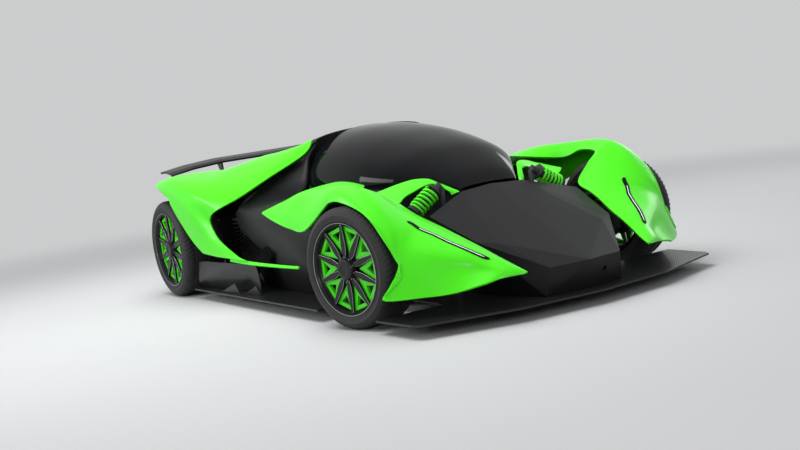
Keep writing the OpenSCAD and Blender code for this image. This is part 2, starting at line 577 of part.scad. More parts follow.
// upright between two ball joints with a stub axle that points outward, and a brake caliper
module upright(low, top, axle_z, reach, caliper_y, wheel_half) {
    translate([-28, -34, low + seat_gap]) cube([56, 68, top - low - 2 * seat_gap]);
    translate([0, 0, axle_z]) rotate([0, 90, 0]) {
        cylinder(d = 84, h = 36);
        cylinder(d = hub_bore_d, h = reach);
    }
    // caliper astride the disc
    difference() {
        translate([0, caliper_y > 0 ? 20 : -180, axle_z - 40]) cube([reach - (wheel_half - hub_in) + (wheel_half - disc_in) + 32, 160, 80]);
        translate([reach - (wheel_half - hub_in) + (wheel_half - disc_in) - 3, -161, axle_z - 60]) cube([20, 322, 120]);
        translate([36, -110, axle_z - 60]) cube([300, 220, 120]);
    }
}
module rear_uprights() {
    color("#6a6d72") both() translate([rear_low[0], axle_r, 0])
        upright(rear_low[2] + 18, rear_top[2] - 18, rear_r, 110 + rear_tyre_w / 2 - hub_in, -1, rear_tyre_w / 2);
}
module knuckle(side) {
    color("#6a6d72") translate([side * king_x, sy(0), 0]) rotate([0, 0, parked_steer]) mirror([side < 0 ? 1 : 0, 0, 0])
        upright(ball_low[2] + ball_h / 2, ball_top[2] - ball_h / 2, front_r, king_off + front_tyre_w / 2 - hub_in, 1, front_tyre_w / 2);
}

// wheel, axis along z, z = 0 in the middle, outer face up
module tyre(d, w, wall) {
    r = d / 2;
    b = r - wall;
    color("#151517") rotate_extrude($fn = 64) polygon([
        [b, -w / 2 + 16], [b + 12, -w / 2 + 4], [b + wall * 0.5, -w / 2], [r - 26, -w / 2 + 8], [r - 8, -w / 2 + 22],
        [r, -w / 2 + 46], [r, w / 2 - 46], [r - 8, w / 2 - 22], [r - 26, w / 2 - 8], [b + wall * 0.5, w / 2],
        [b + 12, w / 2 - 4], [b, w / 2 - 16], [b, w / 2 - 34], [r - 20, w / 2 - 50], [r - 20, -w / 2 + 50], [b, -w / 2 + 34]]);
}
module wheel_rim(d, w, wall) {
    b = d / 2 - wall - seat_gap;
    color("#58dc12") {
        rotate_extrude($fn = 64) polygon([
            [b - 10, -w / 2 + 8], [b, -w / 2 + 8], [b, -w / 2 + 40], [b - 24, -w / 2 + 60], [b - 24, w / 2 - 60],
            [b, w / 2 - 40], [b, w / 2 - 8], [b - 14, w / 2 - 8], [b - 16, w / 2 - 40], [b - 36, w / 2 - 58],
            [b - 36, -w / 2 + 58], [b - 12, -w / 2 + 36]]);
        for (i = [0:spoke_count / 2 - 1]) rotate(i * 720 / spoke_count) for (s = [-1, 1])
            translate([0, 0, w / 2 - 70]) linear_extrude(14) polygon([[b - 30, -6 * s], [b - 30, 8 * s], [96, 42 * s], [92, 24 * s]]);
    }
}
module wheel_spokes(d, w, wall) {
    b = d / 2 - wall - seat_gap;
    tip = b - 16.3;
    color("#0f1012") difference() {
        union() {
            translate([0, 0, w / 2 - 40]) {
                cylinder(r = 62, h = 22);
                cylinder(d = 64, h = 36);
                for (i = [0:spoke_count - 1]) rotate(i * 360 / spoke_count) linear_extrude(18)
                    polygon([[40, -13], [tip, -9], [tip, 9], [40, 13]]);
            }
            translate([0, 0, w / 2 - disc_in]) cylinder(d = 110, h = disc_in - 30);
            // brake disc
            translate([0, 0, w / 2 - disc_in]) cylinder(r = 155, h = 14);
        }
        translate([0, 0, w / 2 - disc_in - 10]) cylinder(d = hub_bore_d + 2 * hub_play, h = disc_in - hub_in + 10 + 2);
    }
}
function wheel_at(name) =
    name == "fl" ? [king_x + king_off * cos(parked_steer), sy(0) + king_off * sin(parked_steer), front_r, parked_steer] :
    name == "fr" ? [-king_x - king_off * cos(parked_steer), sy(0) - king_off * sin(parked_steer), front_r, parked_steer] :
    name == "rl" ? [wheel_x_r, axle_r, rear_r, 0] : [-wheel_x_r, axle_r, rear_r, 0];
module on_wheel(name) {
    w = wheel_at(name);
    translate([w[0], w[1], w[2]]) rotate([0, 0, w[3]]) mirror([w[0] < 0 ? 1 : 0, 0, 0]) rotate([0, 90, 0]) children();
}

floor_plate();
diffuser();
side_fins();
nose();
fender();  // fender_left
mirror([1, 0, 0]) fender();  // fender_right
cowl_panels();
canopy_hinges();
canopy_glass();
canopy_frame();
pod();  // pod_left
mirror([1, 0, 0]) pod();  // pod_right
quarter();  // quarter_left
mirror([1, 0, 0]) quarter();  // quarter_right
engine_cover();
tail_panel();
tail_lamps();
headlamps();
rear_wing();
tub();
seats();
dashboard();
steering_wheel();
engine_block();
front_arms();
rear_arms();
dampers();
springs();
rear_uprights();
knuckle(1);  // knuckle_left
knuckle(-1);  // knuckle_right
on_wheel("fl") tyre(front_tyre_d, front_tyre_w, front_wall);  // tyre_fl
on_wheel("fr") tyre(front_tyre_d, front_tyre_w, front_wall);  // tyre_fr
on_wheel("rl") tyre(rear_tyre_d, rear_tyre_w, rear_wall);  // tyre_rl
on_wheel("rr") tyre(rear_tyre_d, rear_tyre_w, rear_wall);  // tyre_rr
on_wheel("fl") wheel_rim(front_tyre_d, front_tyre_w, front_wall);  // rim_fl
on_wheel("fr") wheel_rim(front_tyre_d, front_tyre_w, front_wall);  // rim_fr
on_wheel("rl") wheel_rim(rear_tyre_d, rear_tyre_w, rear_wall);  // rim_rl
on_wheel("rr") wheel_rim(rear_tyre_d, rear_tyre_w, rear_wall);  // rim_rr
on_wheel("fl") wheel_spokes(front_tyre_d, front_tyre_w, front_wall);  // spokes_fl
on_wheel("fr") wheel_spokes(front_tyre_d, front_tyre_w, front_wall);  // spokes_fr
on_wheel("rl") wheel_spokes(rear_tyre_d, rear_tyre_w, rear_wall);  // spokes_rl
on_wheel("rr") wheel_spokes(rear_tyre_d, rear_tyre_w, rear_wall);  // spokes_rr
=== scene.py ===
# %% [markdown]
# # A low sports car with open fender blades
# The solids of this car come from a CAD model. This scene dresses them: painted shells
# that curve smoothly, tyres with a tread, wheels with machined spokes, dark glass, woven
# carbon and soft light.
#
# A scene like this could be sculpted by hand or built in code. Code was chosen, because
# every panel here is a surface through a few measured points, and the same points also
# made the solids, so shell and solid lie on each other without fitting.

# %% Start
import math

import bpy
from mathutils import Matrix, Vector


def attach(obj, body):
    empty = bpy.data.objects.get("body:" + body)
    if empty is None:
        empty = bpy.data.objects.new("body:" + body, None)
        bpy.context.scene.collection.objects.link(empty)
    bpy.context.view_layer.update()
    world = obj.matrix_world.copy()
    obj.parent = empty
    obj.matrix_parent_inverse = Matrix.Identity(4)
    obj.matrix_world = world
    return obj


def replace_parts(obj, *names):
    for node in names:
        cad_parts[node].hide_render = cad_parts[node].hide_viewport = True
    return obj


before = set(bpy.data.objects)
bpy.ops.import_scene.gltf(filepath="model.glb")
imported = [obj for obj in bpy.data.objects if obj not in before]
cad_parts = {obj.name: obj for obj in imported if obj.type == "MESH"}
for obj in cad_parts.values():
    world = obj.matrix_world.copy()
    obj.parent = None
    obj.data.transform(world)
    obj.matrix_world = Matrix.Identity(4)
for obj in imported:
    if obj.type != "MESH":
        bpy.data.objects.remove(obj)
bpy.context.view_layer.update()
scene = bpy.context.scene

# %% [markdown]
# ## Camera
# The photograph is taken from low in front, on the car's right, with the camera rolled
# by about eight degrees. The camera could be aimed by eye. Here its place and its three
# angles were fitted to points that can be measured on a car: wheel centres, the tips of
# the fenders and the ends of the wing.

# %% Camera
FRONT_AXLE = -1.135


def aim(place, yaw, pitch, roll):
    forward = Vector((math.sin(yaw) * math.cos(pitch), math.cos(yaw) * math.cos(pitch), -math.sin(pitch)))
    level = Vector((math.cos(yaw), -math.sin(yaw), 0))
    upright = level.cross(forward)
    right = level * math.cos(roll) + upright * math.sin(roll)
    up = upright * math.cos(roll) - level * math.sin(roll)
    turn = Matrix((right, up, -forward)).transposed().to_4x4()
    return Matrix.Translation(place) @ turn


camera = bpy.data.objects.new("camera", bpy.data.cameras.new("camera"))
camera.data.lens = 55.02
camera.data.sensor_width = 36
camera.matrix_world = aim(
    Vector((-4.026, -5.971 + FRONT_AXLE, 1.220)),
    math.radians(29.566), math.radians(5.836), math.radians(-8.182))
scene.collection.objects.link(camera)
scene.camera = camera
print("camera at", [round(v, 3) for v in camera.matrix_world.translation])

# %% [markdown]
# ## Light and floor
# A car body is a mirror, so its light comes from large soft boxes: what they show in the
# paint are their own edges. A wide one hangs over the car, which the paint does not
# mirror, and three low ones stand to the left, in front and on the far side. They could
# be small and bright, but then each would be a spot on every fold. The pale backdrop is
# only what the camera, mirrors and glass see: it adds no light to the car.

# %% Light and floor
scene.view_settings.view_transform = "Standard"
BACKDROP = (0.60, 0.605, 0.61, 1)


def soft_box(name, place, look_at, size, power):
    lamp = bpy.data.lights.new(name, "AREA")
    lamp.shape = "RECTANGLE"
    lamp.size, lamp.size_y = size
    lamp.energy = power
    box = bpy.data.objects.new(name, lamp)
    box.location = place
    box.rotation_euler = (Vector(look_at) - Vector(place)).to_track_quat("-Z", "Y").to_euler()
    scene.collection.objects.link(box)
    return box


above = soft_box("box_above", (-1.0, 0.6, 5.0), (0, 0, 0.4), (6.0, 4.0), 420)
above.visible_glossy = False
soft_box("box_left", (-6.0, 2.4, 2.4), (0, 0.4, 0.5), (5.0, 1.6), 150)
soft_box("box_front", (-2.4, -7.0, 2.4), (0, -1.2, 0.3), (3.6, 1.4), 80)
soft_box("box_far", (6.0, 1.0, 3.0), (0, 0, 0.5), (4.0, 2.0), 70)

world = bpy.data.worlds.new("studio")
scene.world = world
world.use_nodes = True
w = world.node_tree
w.nodes.clear()
# camera, mirrors and glass see the backdrop, everything else gets the soft light
seen = w.nodes.new("ShaderNodeLightPath")
either = w.nodes.new("ShaderNodeMath")
either.operation = "MAXIMUM"
mirrored = w.nodes.new("ShaderNodeMath")
mirrored.operation = "MAXIMUM"
w.links.new(seen.outputs["Is Glossy Ray"], mirrored.inputs[0])
w.links.new(seen.outputs["Is Transmission Ray"], mirrored.inputs[1])
w.links.new(seen.outputs["Is Camera Ray"], either.inputs[0])
w.links.new(mirrored.outputs[0], either.inputs[1])
pale = w.nodes.new("ShaderNodeBackground")
pale.inputs["Color"].default_value = BACKDROP
soft = w.nodes.new("ShaderNodeBackground")
soft.inputs["Color"].default_value = (0.95, 0.97, 1.0, 1)
soft.inputs["Strength"].default_value = 0.35
pick = w.nodes.new("ShaderNodeMixShader")
out = w.nodes.new("ShaderNodeOutputWorld")
w.links.new(either.outputs[0], pick.inputs[0])
w.links.new(soft.outputs[0], pick.inputs[1])
w.links.new(pale.outputs[0], pick.inputs[2])
w.links.new(pick.outputs[0], out.inputs[0])

floor_mesh = bpy.data.meshes.new("studio_floor")
floor_mesh.from_pydata([(-40, -40, 0), (40, -40, 0), (40, 40, 0), (-40, 40, 0)], [], [(0, 1, 2, 3)])
studio_floor = bpy.data.objects.new("studio_floor", floor_mesh)
scene.collection.objects.link(studio_floor)

# %% [markdown]
# ## Shader groups
# Paint, metal, rubber and trim share a few traces: a little dust that lies on
# what faces up, edges that are rubbed brighter, and a fine grain; carbon has its weave. Each trace could be
# drawn in every material again. A node group is better: it is built once, and each
# material sets its own amounts. A group here gives out only masks and heights.

# %% Helpers for node groups


def new_group(name, inputs, outputs):
    group = bpy.data.node_groups.new(name, "ShaderNodeTree")
    for label, kind, value in inputs:
        socket = group.interface.new_socket(label, in_out="INPUT", socket_type=kind)
        if value is not None:
            socket.default_value = value
    for label, kind in outputs:
        group.interface.new_socket(label, in_out="OUTPUT", socket_type=kind)
    start = group.nodes.new("NodeGroupInput")
    end = group.nodes.new("NodeGroupOutput")
    return group, start, end


def math_node(tree, operation, a, b=None, clamp=False):
    node = tree.nodes.new("ShaderNodeMath")
    node.operation = operation
    node.use_clamp = clamp
    for slot_number, value in enumerate((a, b)):
        if value is None:
            continue
        if isinstance(value, (int, float)):
            node.inputs[slot_number].default_value = value
        else:
            tree.links.new(value, node.inputs[slot_number])
    return node.outputs[0]


def noise(tree, scale, detail=3.0, rough=0.55, vector=None):
    node = tree.nodes.new("ShaderNodeTexNoise")
    node.inputs["Detail"].default_value = detail
    node.inputs["Roughness"].default_value = rough
    if isinstance(scale, (int, float)):
        node.inputs["Scale"].default_value = scale
    else:
        tree.links.new(scale, node.inputs["Scale"])
    if vector is None:
        vector = tree.nodes.new("ShaderNodeTexCoord").outputs["Object"]
    tree.links.new(vector, node.inputs["Vector"])
    return node.outputs["Fac"]


# %% Dust, edge wear, grain and weave
dust_group, g_in, g_out = new_group(
    "settled_dust", [("Scale", "NodeSocketFloat", 3.0), ("Amount", "NodeSocketFloat", 0.3)],
    [("Mask", "NodeSocketFloat")])
geometry = dust_group.nodes.new("ShaderNodeNewGeometry")
split = dust_group.nodes.new("ShaderNodeSeparateXYZ")
dust_group.links.new(geometry.outputs["Normal"], split.inputs[0])
upward = math_node(dust_group, "SUBTRACT", split.outputs["Z"], 0.35, clamp=True)
patch = noise(dust_group, g_in.outputs["Scale"], 5.0, 0.65)
patch = math_node(dust_group, "SUBTRACT", patch, 0.42, clamp=True)
veil = math_node(dust_group, "MULTIPLY", upward, patch)
veil = math_node(dust_group, "MULTIPLY", veil, g_in.outputs["Amount"], clamp=True)
dust_group.links.new(veil, g_out.inputs["Mask"])

wear_group, g_in, g_out = new_group(
    "rubbed_edges", [("Sharpness", "NodeSocketFloat", 9.0), ("Amount", "NodeSocketFloat", 0.5)],
    [("Mask", "NodeSocketFloat")])
geometry = wear_group.nodes.new("ShaderNodeNewGeometry")
edge = math_node(wear_group, "SUBTRACT", geometry.outputs["Pointiness"], 0.52, clamp=True)
edge = math_node(wear_group, "MULTIPLY", edge, g_in.outputs["Sharpness"], clamp=True)
broken = noise(wear_group, 38.0, 4.0, 0.7)
edge = math_node(wear_group, "MULTIPLY", edge, broken)
edge = math_node(wear_group, "MULTIPLY", edge, g_in.outputs["Amount"], clamp=True)
wear_group.links.new(edge, g_out.inputs["Mask"])

grain_group, g_in, g_out = new_group(
    "fine_grain", [("Scale", "NodeSocketFloat", 400.0), ("Contrast", "NodeSocketFloat", 1.0)],
    [("Height", "NodeSocketFloat")])
cells = grain_group.nodes.new("ShaderNodeTexVoronoi")
grain_group.links.new(g_in.outputs["Scale"], cells.inputs["Scale"])
where = grain_group.nodes.new("ShaderNodeTexCoord")
grain_group.links.new(where.outputs["Object"], cells.inputs["Vector"])
bumps = math_node(grain_group, "MULTIPLY", cells.outputs["Distance"], g_in.outputs["Contrast"])
grain_group.links.new(bumps, g_out.inputs["Height"])

weave_group, g_in, g_out = new_group(
    "twill_weave", [("Tow", "NodeSocketFloat", 260.0)],
    [("Mask", "NodeSocketFloat"), ("Height", "NodeSocketFloat")])
where = weave_group.nodes.new("ShaderNodeTexCoord")
axes = weave_group.nodes.new("ShaderNodeSeparateXYZ")
weave_group.links.new(where.outputs["Object"], axes.inputs[0])
side = math_node(weave_group, "ADD", axes.outputs["X"], math_node(weave_group, "MULTIPLY", axes.outputs["Z"], 0.7))
run = math_node(weave_group, "ADD", axes.outputs["Y"], math_node(weave_group, "MULTIPLY", axes.outputs["Z"], 0.7))
u = math_node(weave_group, "MULTIPLY", side, g_in.outputs["Tow"])
v = math_node(weave_group, "MULTIPLY", run, g_in.outputs["Tow"])
step = math_node(weave_group, "SUBTRACT", math_node(weave_group, "FLOOR", u), math_node(weave_group, "FLOOR", v))
over = math_node(weave_group, "LESS_THAN", math_node(weave_group, "FLOORED_MODULO", step, 4.0), 2.0)
across = math_node(weave_group, "PINGPONG", math_node(weave_group, "FRACT", u), 0.5)
along = math_node(weave_group, "PINGPONG", math_node(weave_group, "FRACT", v), 0.5)
crown = weave_group.nodes.new("ShaderNodeMix")
weave_group.links.new(over, crown.inputs[0])
weave_group.links.new(across, crown.inputs[2])
weave_group.links.new(along, crown.inputs[3])
weave_group.links.new(over, g_out.inputs["Mask"])
weave_group.links.new(crown.outputs[0], g_out.inputs["Height"])
print("shader groups:", [g.name for g in bpy.data.node_groups])

# %% [markdown]
# ## Materials
# Every material starts as one Principled shader whose steady values are set on its own
# sockets. What varies over the surface is then linked in: a colour that drifts a little,
# a roughness that dust and wear change, and a bump for grain or weave. The alternative,
# a picture wrapped round each piece, would need an unwrapped mesh and would blur close up.

# %% Material helpers


def base_material(name, colour, roughness, metallic=0.0, **more):
    material = bpy.data.materials.new(name)
    material.use_nodes = True
    shader = material.node_tree.nodes["Principled BSDF"]
    shader.inputs["Base Color"].default_value = (*colour, 1)
    shader.inputs["Roughness"].default_value = roughness
    shader.inputs["Metallic"].default_value = metallic
    for label, value in more.items():
        shader.inputs[label.replace("_", " ")].default_value = value
    material.diffuse_color = (*colour, 1)
    return material


def place_group(material, group, **values):
    node = material.node_tree.nodes.new("ShaderNodeGroup")
    node.node_tree = group
    for label, value in values.items():
        node.inputs[label].default_value = value
    return node


def vary_colour(material, mask, low, high, socket="Base Color"):
    tree = material.node_tree
    mix = tree.nodes.new("ShaderNodeMix")
    mix.data_type = "RGBA"
    mix.inputs[6].default_value = (*low, 1)
    mix.inputs[7].default_value = (*high, 1)
    tree.links.new(mask, mix.inputs[0])
    tree.links.new(mix.outputs[2], tree.nodes["Principled BSDF"].inputs[socket])


def vary_roughness(material, mask, low, high):
    tree = material.node_tree
    spread = tree.nodes.new("ShaderNodeMapRange")
    spread.inputs["To Min"].default_value = low
    spread.inputs["To Max"].default_value = high
    tree.links.new(mask, spread.inputs["Value"])
    tree.links.new(spread.outputs[0], tree.nodes["Principled BSDF"].inputs["Roughness"])


def add_bump(material, height, strength, distance):
    tree = material.node_tree
    bump = tree.nodes.new("ShaderNodeBump")
    bump.inputs["Strength"].default_value = strength
    bump.inputs["Distance"].default_value = distance
    tree.links.new(height, bump.inputs["Height"])
    tree.links.new(bump.outputs[0], tree.nodes["Principled BSDF"].inputs["Normal"])


# %% [markdown]
# ### Paint
# The green is a pearl paint under clear lacquer: the colour goes slightly deeper where
# the flakes lie flat, and the lacquer above has a faint orange peel. Flakes could be
# modelled as a metallic layer, but on this car the colour stays saturated in shade, so
# a lacquered plain colour with a fine flake in its roughness comes closer.

# %% Paint
GREEN = (0.075, 0.82, 0.003)


def lacquer(name, colour, deep, roughness, coat, peel=0.02, dust=0.25, shine=0.3):
    paint = base_material(name, colour, roughness, Coat_Weight=coat, Coat_Roughness=0.12, Specular_IOR_Level=shine)
    tree = paint.node_tree
    flake = place_group(paint, grain_group, Scale=900.0, Contrast=1.0)
    drift = noise(tree, 1.7, 3.0, 0.5)
    vary_colour(paint, drift, deep, colour)
    settled = place_group(paint, dust_group, Scale=4.0, Amount=dust)
    rough = math_node(tree, "ADD", math_node(tree, "MULTIPLY", flake.outputs[0], 0.25), settled.outputs[0])
    vary_roughness(paint, rough, roughness, min(1.0, roughness + 0.35))
    add_bump(paint, noise(tree, 140.0, 2.0), peel, 0.001)
    return paint


green_paint = lacquer("green_pearl_paint", GREEN, (0.055, 0.70, 0.002), 0.34, 0.22, dust=0.12)
black_paint = lacquer("satin_black_paint", (0.009, 0.009, 0.010), (0.006, 0.006, 0.007), 0.40, 0.04, 0.03, 0.4, 0.22)
inner_black = lacquer("matt_black_inside", (0.006, 0.006, 0.0065), (0.004, 0.004, 0.0045), 0.6, 0.0, 0.06, 0.3, 0.15)
rim_green = lacquer("green_rim_lacquer", (0.060, 0.78, 0.003), (0.045, 0.66, 0.002), 0.34, 0.2, 0.02, 0.2)
spoke_black = lacquer("gloss_black_spokes", (0.006, 0.006, 0.0065), (0.004, 0.004, 0.0045), 0.3, 0.1, 0.02, 0.2, 0.25)

# %% [markdown]
# ### Carbon
# Floor, wing, diffuser and side fins are laid up in twill cloth: each bundle of fibres
# passes over two and under two, and a step sideways makes the diagonal. The bundles
# catch the light in turn, so the weave mask drives the roughness and a faint bump.

# %% Carbon
carbon = base_material(
    "twill_carbon", (0.010, 0.010, 0.011), 0.35, Coat_Weight=0.15, Coat_Roughness=0.08, Specular_IOR_Level=0.3)
weave = place_group(carbon, weave_group, Tow=260.0)
vary_colour(carbon, weave.outputs["Mask"], (0.006, 0.006, 0.0065), (0.013, 0.0135, 0.015))
vary_roughness(carbon, weave.outputs["Mask"], 0.30, 0.46)
add_bump(carbon, weave.outputs["Height"], 0.25, 0.0006)

# %% [markdown]
# ### Glass and lenses
# The canopy is so dark that the cabin is only a hint behind it. Clear glass over a black
# cabin would reflect the same, but a tinted glass also darkens the light on the seats.

# %% Glass and lenses
canopy_tint = base_material(
    "smoked_canopy_glass", (0.010, 0.0105, 0.012), 0.06, Transmission_Weight=0.6, IOR=1.22)
settled = place_group(canopy_tint, dust_group, Scale=3.0, Amount=0.5)
vary_roughness(canopy_tint, settled.outputs[0], 0.06, 0.35)
red_lens = base_material("red_lamp_lens", (0.55, 0.008, 0.010), 0.18, Coat_Weight=1.0, Coat_Roughness=0.04)
ribs = place_group(red_lens, grain_group, Scale=260.0, Contrast=1.0)
add_bump(red_lens, ribs.outputs[0], 0.35, 0.002)
vary_colour(red_lens, noise(red_lens.node_tree, 30.0), (0.42, 0.005, 0.008), (0.62, 0.012, 0.012))
light_line = base_material("lit_lamp_line", (0.85, 0.88, 0.92), 0.3, Emission_Strength=0.9)
beads = place_group(light_line, grain_group, Scale=190.0, Contrast=1.4)
vary_colour(light_line, beads.outputs[0], (0.92, 0.95, 1.0), (0.55, 0.60, 0.66))
vary_colour(light_line, beads.outputs[0], (0.95, 0.98, 1.0), (0.45, 0.50, 0.58), "Emission Color")

# %% [markdown]
# ### Metals, rubber and trim
# Machined parts show a fine grain, cast ones a coarse grain.
# Rubber is never quite black: it is greyer where it is rubbed and where dust settles.

# %% Metals, rubber and trim


def metal(name, colour, roughness, grain_scale, bump, spread=0.15, weight=1.0):
    material = base_material(name, colour, roughness, weight)
    tree = material.node_tree
    grain = place_group(material, grain_group, Scale=grain_scale, Contrast=1.0)
    worn = place_group(material, wear_group, Sharpness=10.0, Amount=0.6)
    blotches = noise(tree, 24.0, 4.0)
    rough = math_node(tree, "SUBTRACT", blotches, math_node(tree, "MULTIPLY", worn.outputs[0], 0.5), clamp=True)
    vary_roughness(material, rough, roughness, roughness + spread)
    dim = tuple(c * 0.82 for c in colour)
    vary_colour(material, noise(tree, 9.0, 4.0), dim, colour)
    add_bump(material, grain.outputs[0], bump, 0.001)
    return material


polished = metal("polished_dark_lip", (0.30, 0.30, 0.32), 0.16, 800.0, 0.02)
machined = metal("machined_edge", (0.55, 0.56, 0.58), 0.22, 900.0, 0.03)
cast_alloy = metal("cast_alloy", (0.36, 0.37, 0.39), 0.42, 420.0, 0.25)
powder_steel = metal("powder_coated_steel", (0.035, 0.036, 0.040), 0.45, 600.0, 0.15, weight=0.2)
disc_steel = metal("brake_disc_steel", (0.33, 0.33, 0.34), 0.28, 1200.0, 0.05)
spring_coat = lacquer("green_spring_lacquer", (0.10, 0.85, 0.01), (0.07, 0.72, 0.006), 0.3, 0.5, 0.02, 0.1)


def soft_surface(name, colour, pale, roughness, scale, bump, dust=0.4):
    material = base_material(name, colour, roughness, Specular_IOR_Level=0.35)
    tree = material.node_tree
    grain = place_group(material, grain_group, Scale=scale, Contrast=1.0)
    worn = place_group(material, wear_group, Sharpness=7.0, Amount=0.6)
    settled = place_group(material, dust_group, Scale=6.0, Amount=dust)
    mask = math_node(tree, "ADD", worn.outputs[0], settled.outputs[0], clamp=True)
    mask = math_node(tree, "ADD", mask, math_node(tree, "MULTIPLY", noise(tree, 14.0, 4.0), 0.35), clamp=True)
    vary_colour(material, mask, colour, pale)
    vary_roughness(material, mask, roughness, min(1.0, roughness + 0.2))
    add_bump(material, grain.outputs[0], bump, 0.0012)
    return material


rubber = soft_surface("tyre_rubber", (0.017, 0.017, 0.018), (0.055, 0.054, 0.052), 0.62, 500.0, 0.15, 0.6)
trim = soft_surface("grained_cabin_trim", (0.022, 0.022, 0.024), (0.05, 0.05, 0.052), 0.6, 650.0, 0.35)
leather = soft_surface("seat_leather", (0.026, 0.026, 0.028), (0.06, 0.06, 0.062), 0.5, 380.0, 0.4)
grip_leather = soft_surface("wheel_grip_leather", (0.018, 0.018, 0.019), (0.05, 0.05, 0.05), 0.5, 520.0, 0.3)

# %% [markdown]
# ### Studio floor
# The floor is matt paper. Far from the car it turns into the same pale tone as the
# backdrop, so that no horizon shows; close to the car it takes light and shadow.

# %% Studio floor
studio_paper = base_material("studio_floor_paper", (0.50, 0.505, 0.51), 0.8, Specular_IOR_Level=0.2)
tree = studio_paper.node_tree
vary_colour(studio_paper, noise(tree, 0.8, 3.0), (0.49, 0.495, 0.50), (0.51, 0.515, 0.52))
add_bump(studio_paper, noise(tree, 300.0, 3.0), 0.05, 0.0005)
spot = tree.nodes.new("ShaderNodeTexCoord")
reach = tree.nodes.new("ShaderNodeVectorMath")
reach.operation = "LENGTH"
tree.links.new(spot.outputs["Object"], reach.inputs[0])
fade = tree.nodes.new("ShaderNodeMapRange")
fade.inputs["From Min"].default_value = 3.5
fade.inputs["From Max"].default_value = 9.0
fade.interpolation_type = "SMOOTHSTEP"
tree.links.new(reach.outputs["Value"], fade.inputs["Value"])
far_tone = tree.nodes.new("ShaderNodeEmission")
far_tone.inputs["Color"].default_value = BACKDROP
near_or_far = tree.nodes.new("ShaderNodeMixShader")
tree.links.new(fade.outputs[0], near_or_far.inputs[0])
tree.links.new(tree.nodes["Principled BSDF"].outputs[0], near_or_far.inputs[1])
tree.links.new(far_tone.outputs[0], near_or_far.inputs[2])
tree.links.new(near_or_far.outputs[0], tree.nodes["Material Output"].inputs["Surface"])
studio_floor.data.materials.append(studio_paper)
print("materials:", len(bpy.data.materials))

# %% [markdown]
# ## Tools for shells
# A shell is a grid of points: rows run to the rear and columns run outward. A smooth
# curve through the points fills the grid in, a Solidify modifier gives the skin its
# thickness inward, and a small bevel rounds the cut edge so that it catches the light.
# A subdivision surface would also be smooth, but it would pull away from the points.

# %% Tools for shells
FRONT = Vector((0, FRONT_AXLE, 0))


def put(point):
    return Vector(point) * 0.001 + FRONT


def curve_through(points, parts):
    points = [Vector(p) for p in points]
    last = len(points) - 1
    filled = []
    for i in range(last):
        a, b = points[max(0, i - 1)], points[i]
        c, d = points[i + 1], points[min(last, i + 2)]
        for k in range(parts):
            t = k / parts
            filled.append(0.5 * (2 * b + (c - a) * t + (2 * a - 5 * b + 4 * c - d) * t * t
                                 + (3 * b - a - 3 * c + d) * t * t * t))
    filled.append(points[last])
    return filled


def refine(rows, along, across):
    columns = [curve_through(column, along) for column in zip(*rows)]
    return [curve_through(row, across) for row in zip(*columns)]


def finish_mesh(name, vertices, faces, material, smooth_below=35):
    mesh = bpy.data.meshes.new(name)
    mesh.from_pydata([tuple(p) for p in vertices], [], faces)
    mesh.update()
    mesh.shade_smooth()
    mesh.set_sharp_from_angle(angle=math.radians(smooth_below))
    mesh.materials.append(material)
    piece = bpy.data.objects.new(name, mesh)
    scene.collection.objects.link(piece)
    return piece


def soften(piece, width=0.002, segments=2, angle=40, cut_material=None):
    bevel = piece.modifiers.new("edge", "BEVEL")
    bevel.width = width
    bevel.segments = segments
    bevel.limit_method = "ANGLE"
    bevel.angle_limit = math.radians(angle)
    bevel.use_clamp_overlap = True
    bevel.harden_normals = True
    if cut_material is not None:
        piece.data.materials.append(cut_material)
        bevel.material = 1
    return piece


def skin_of(name, grid, material, thick, offset, right):
    columns = len(grid[0])
    points = [Vector((-p.x, p.y, p.z)) if right else p for row in grid for p in row]
    faces = []
    for i in range(len(grid) - 1):
        for j in range(columns - 1):
            a = i * columns + j
            ring = (a, a + 1, a + columns + 1, a + columns)
            faces.append(ring[::-1] if right else ring)
    piece = finish_mesh(name, points, faces, material, 60)
    skin = piece.modifiers.new("thickness", "SOLIDIFY")
    skin.thickness = thick
    skin.offset = offset
    return piece


def belongs(piece, body="body"):
    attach(piece, body)
    return piece


def shell(name, rows, material, along=6, across=6, thick=0.012, right=False, body="body", node=None):
    grid = refine([[put(p) for p in row] for row in rows], along, across)
    piece = skin_of(name, grid, material, thick, -1, right)
    soften(piece, 0.0022, 2, 50)
    belongs(piece, body)
    if node:
        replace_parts(piece, node)
    return piece


SIDES = (("left", False), ("right", True))

# %% [markdown]
# ## Fender blades
# Each front fender is one blade that starts as a spear beside the nose, climbs over the
# wheel and leaves it again behind, open below. It is the strongest form of the car. The
# columns of its table follow it from the inner edge over the crest to the wheel arch.

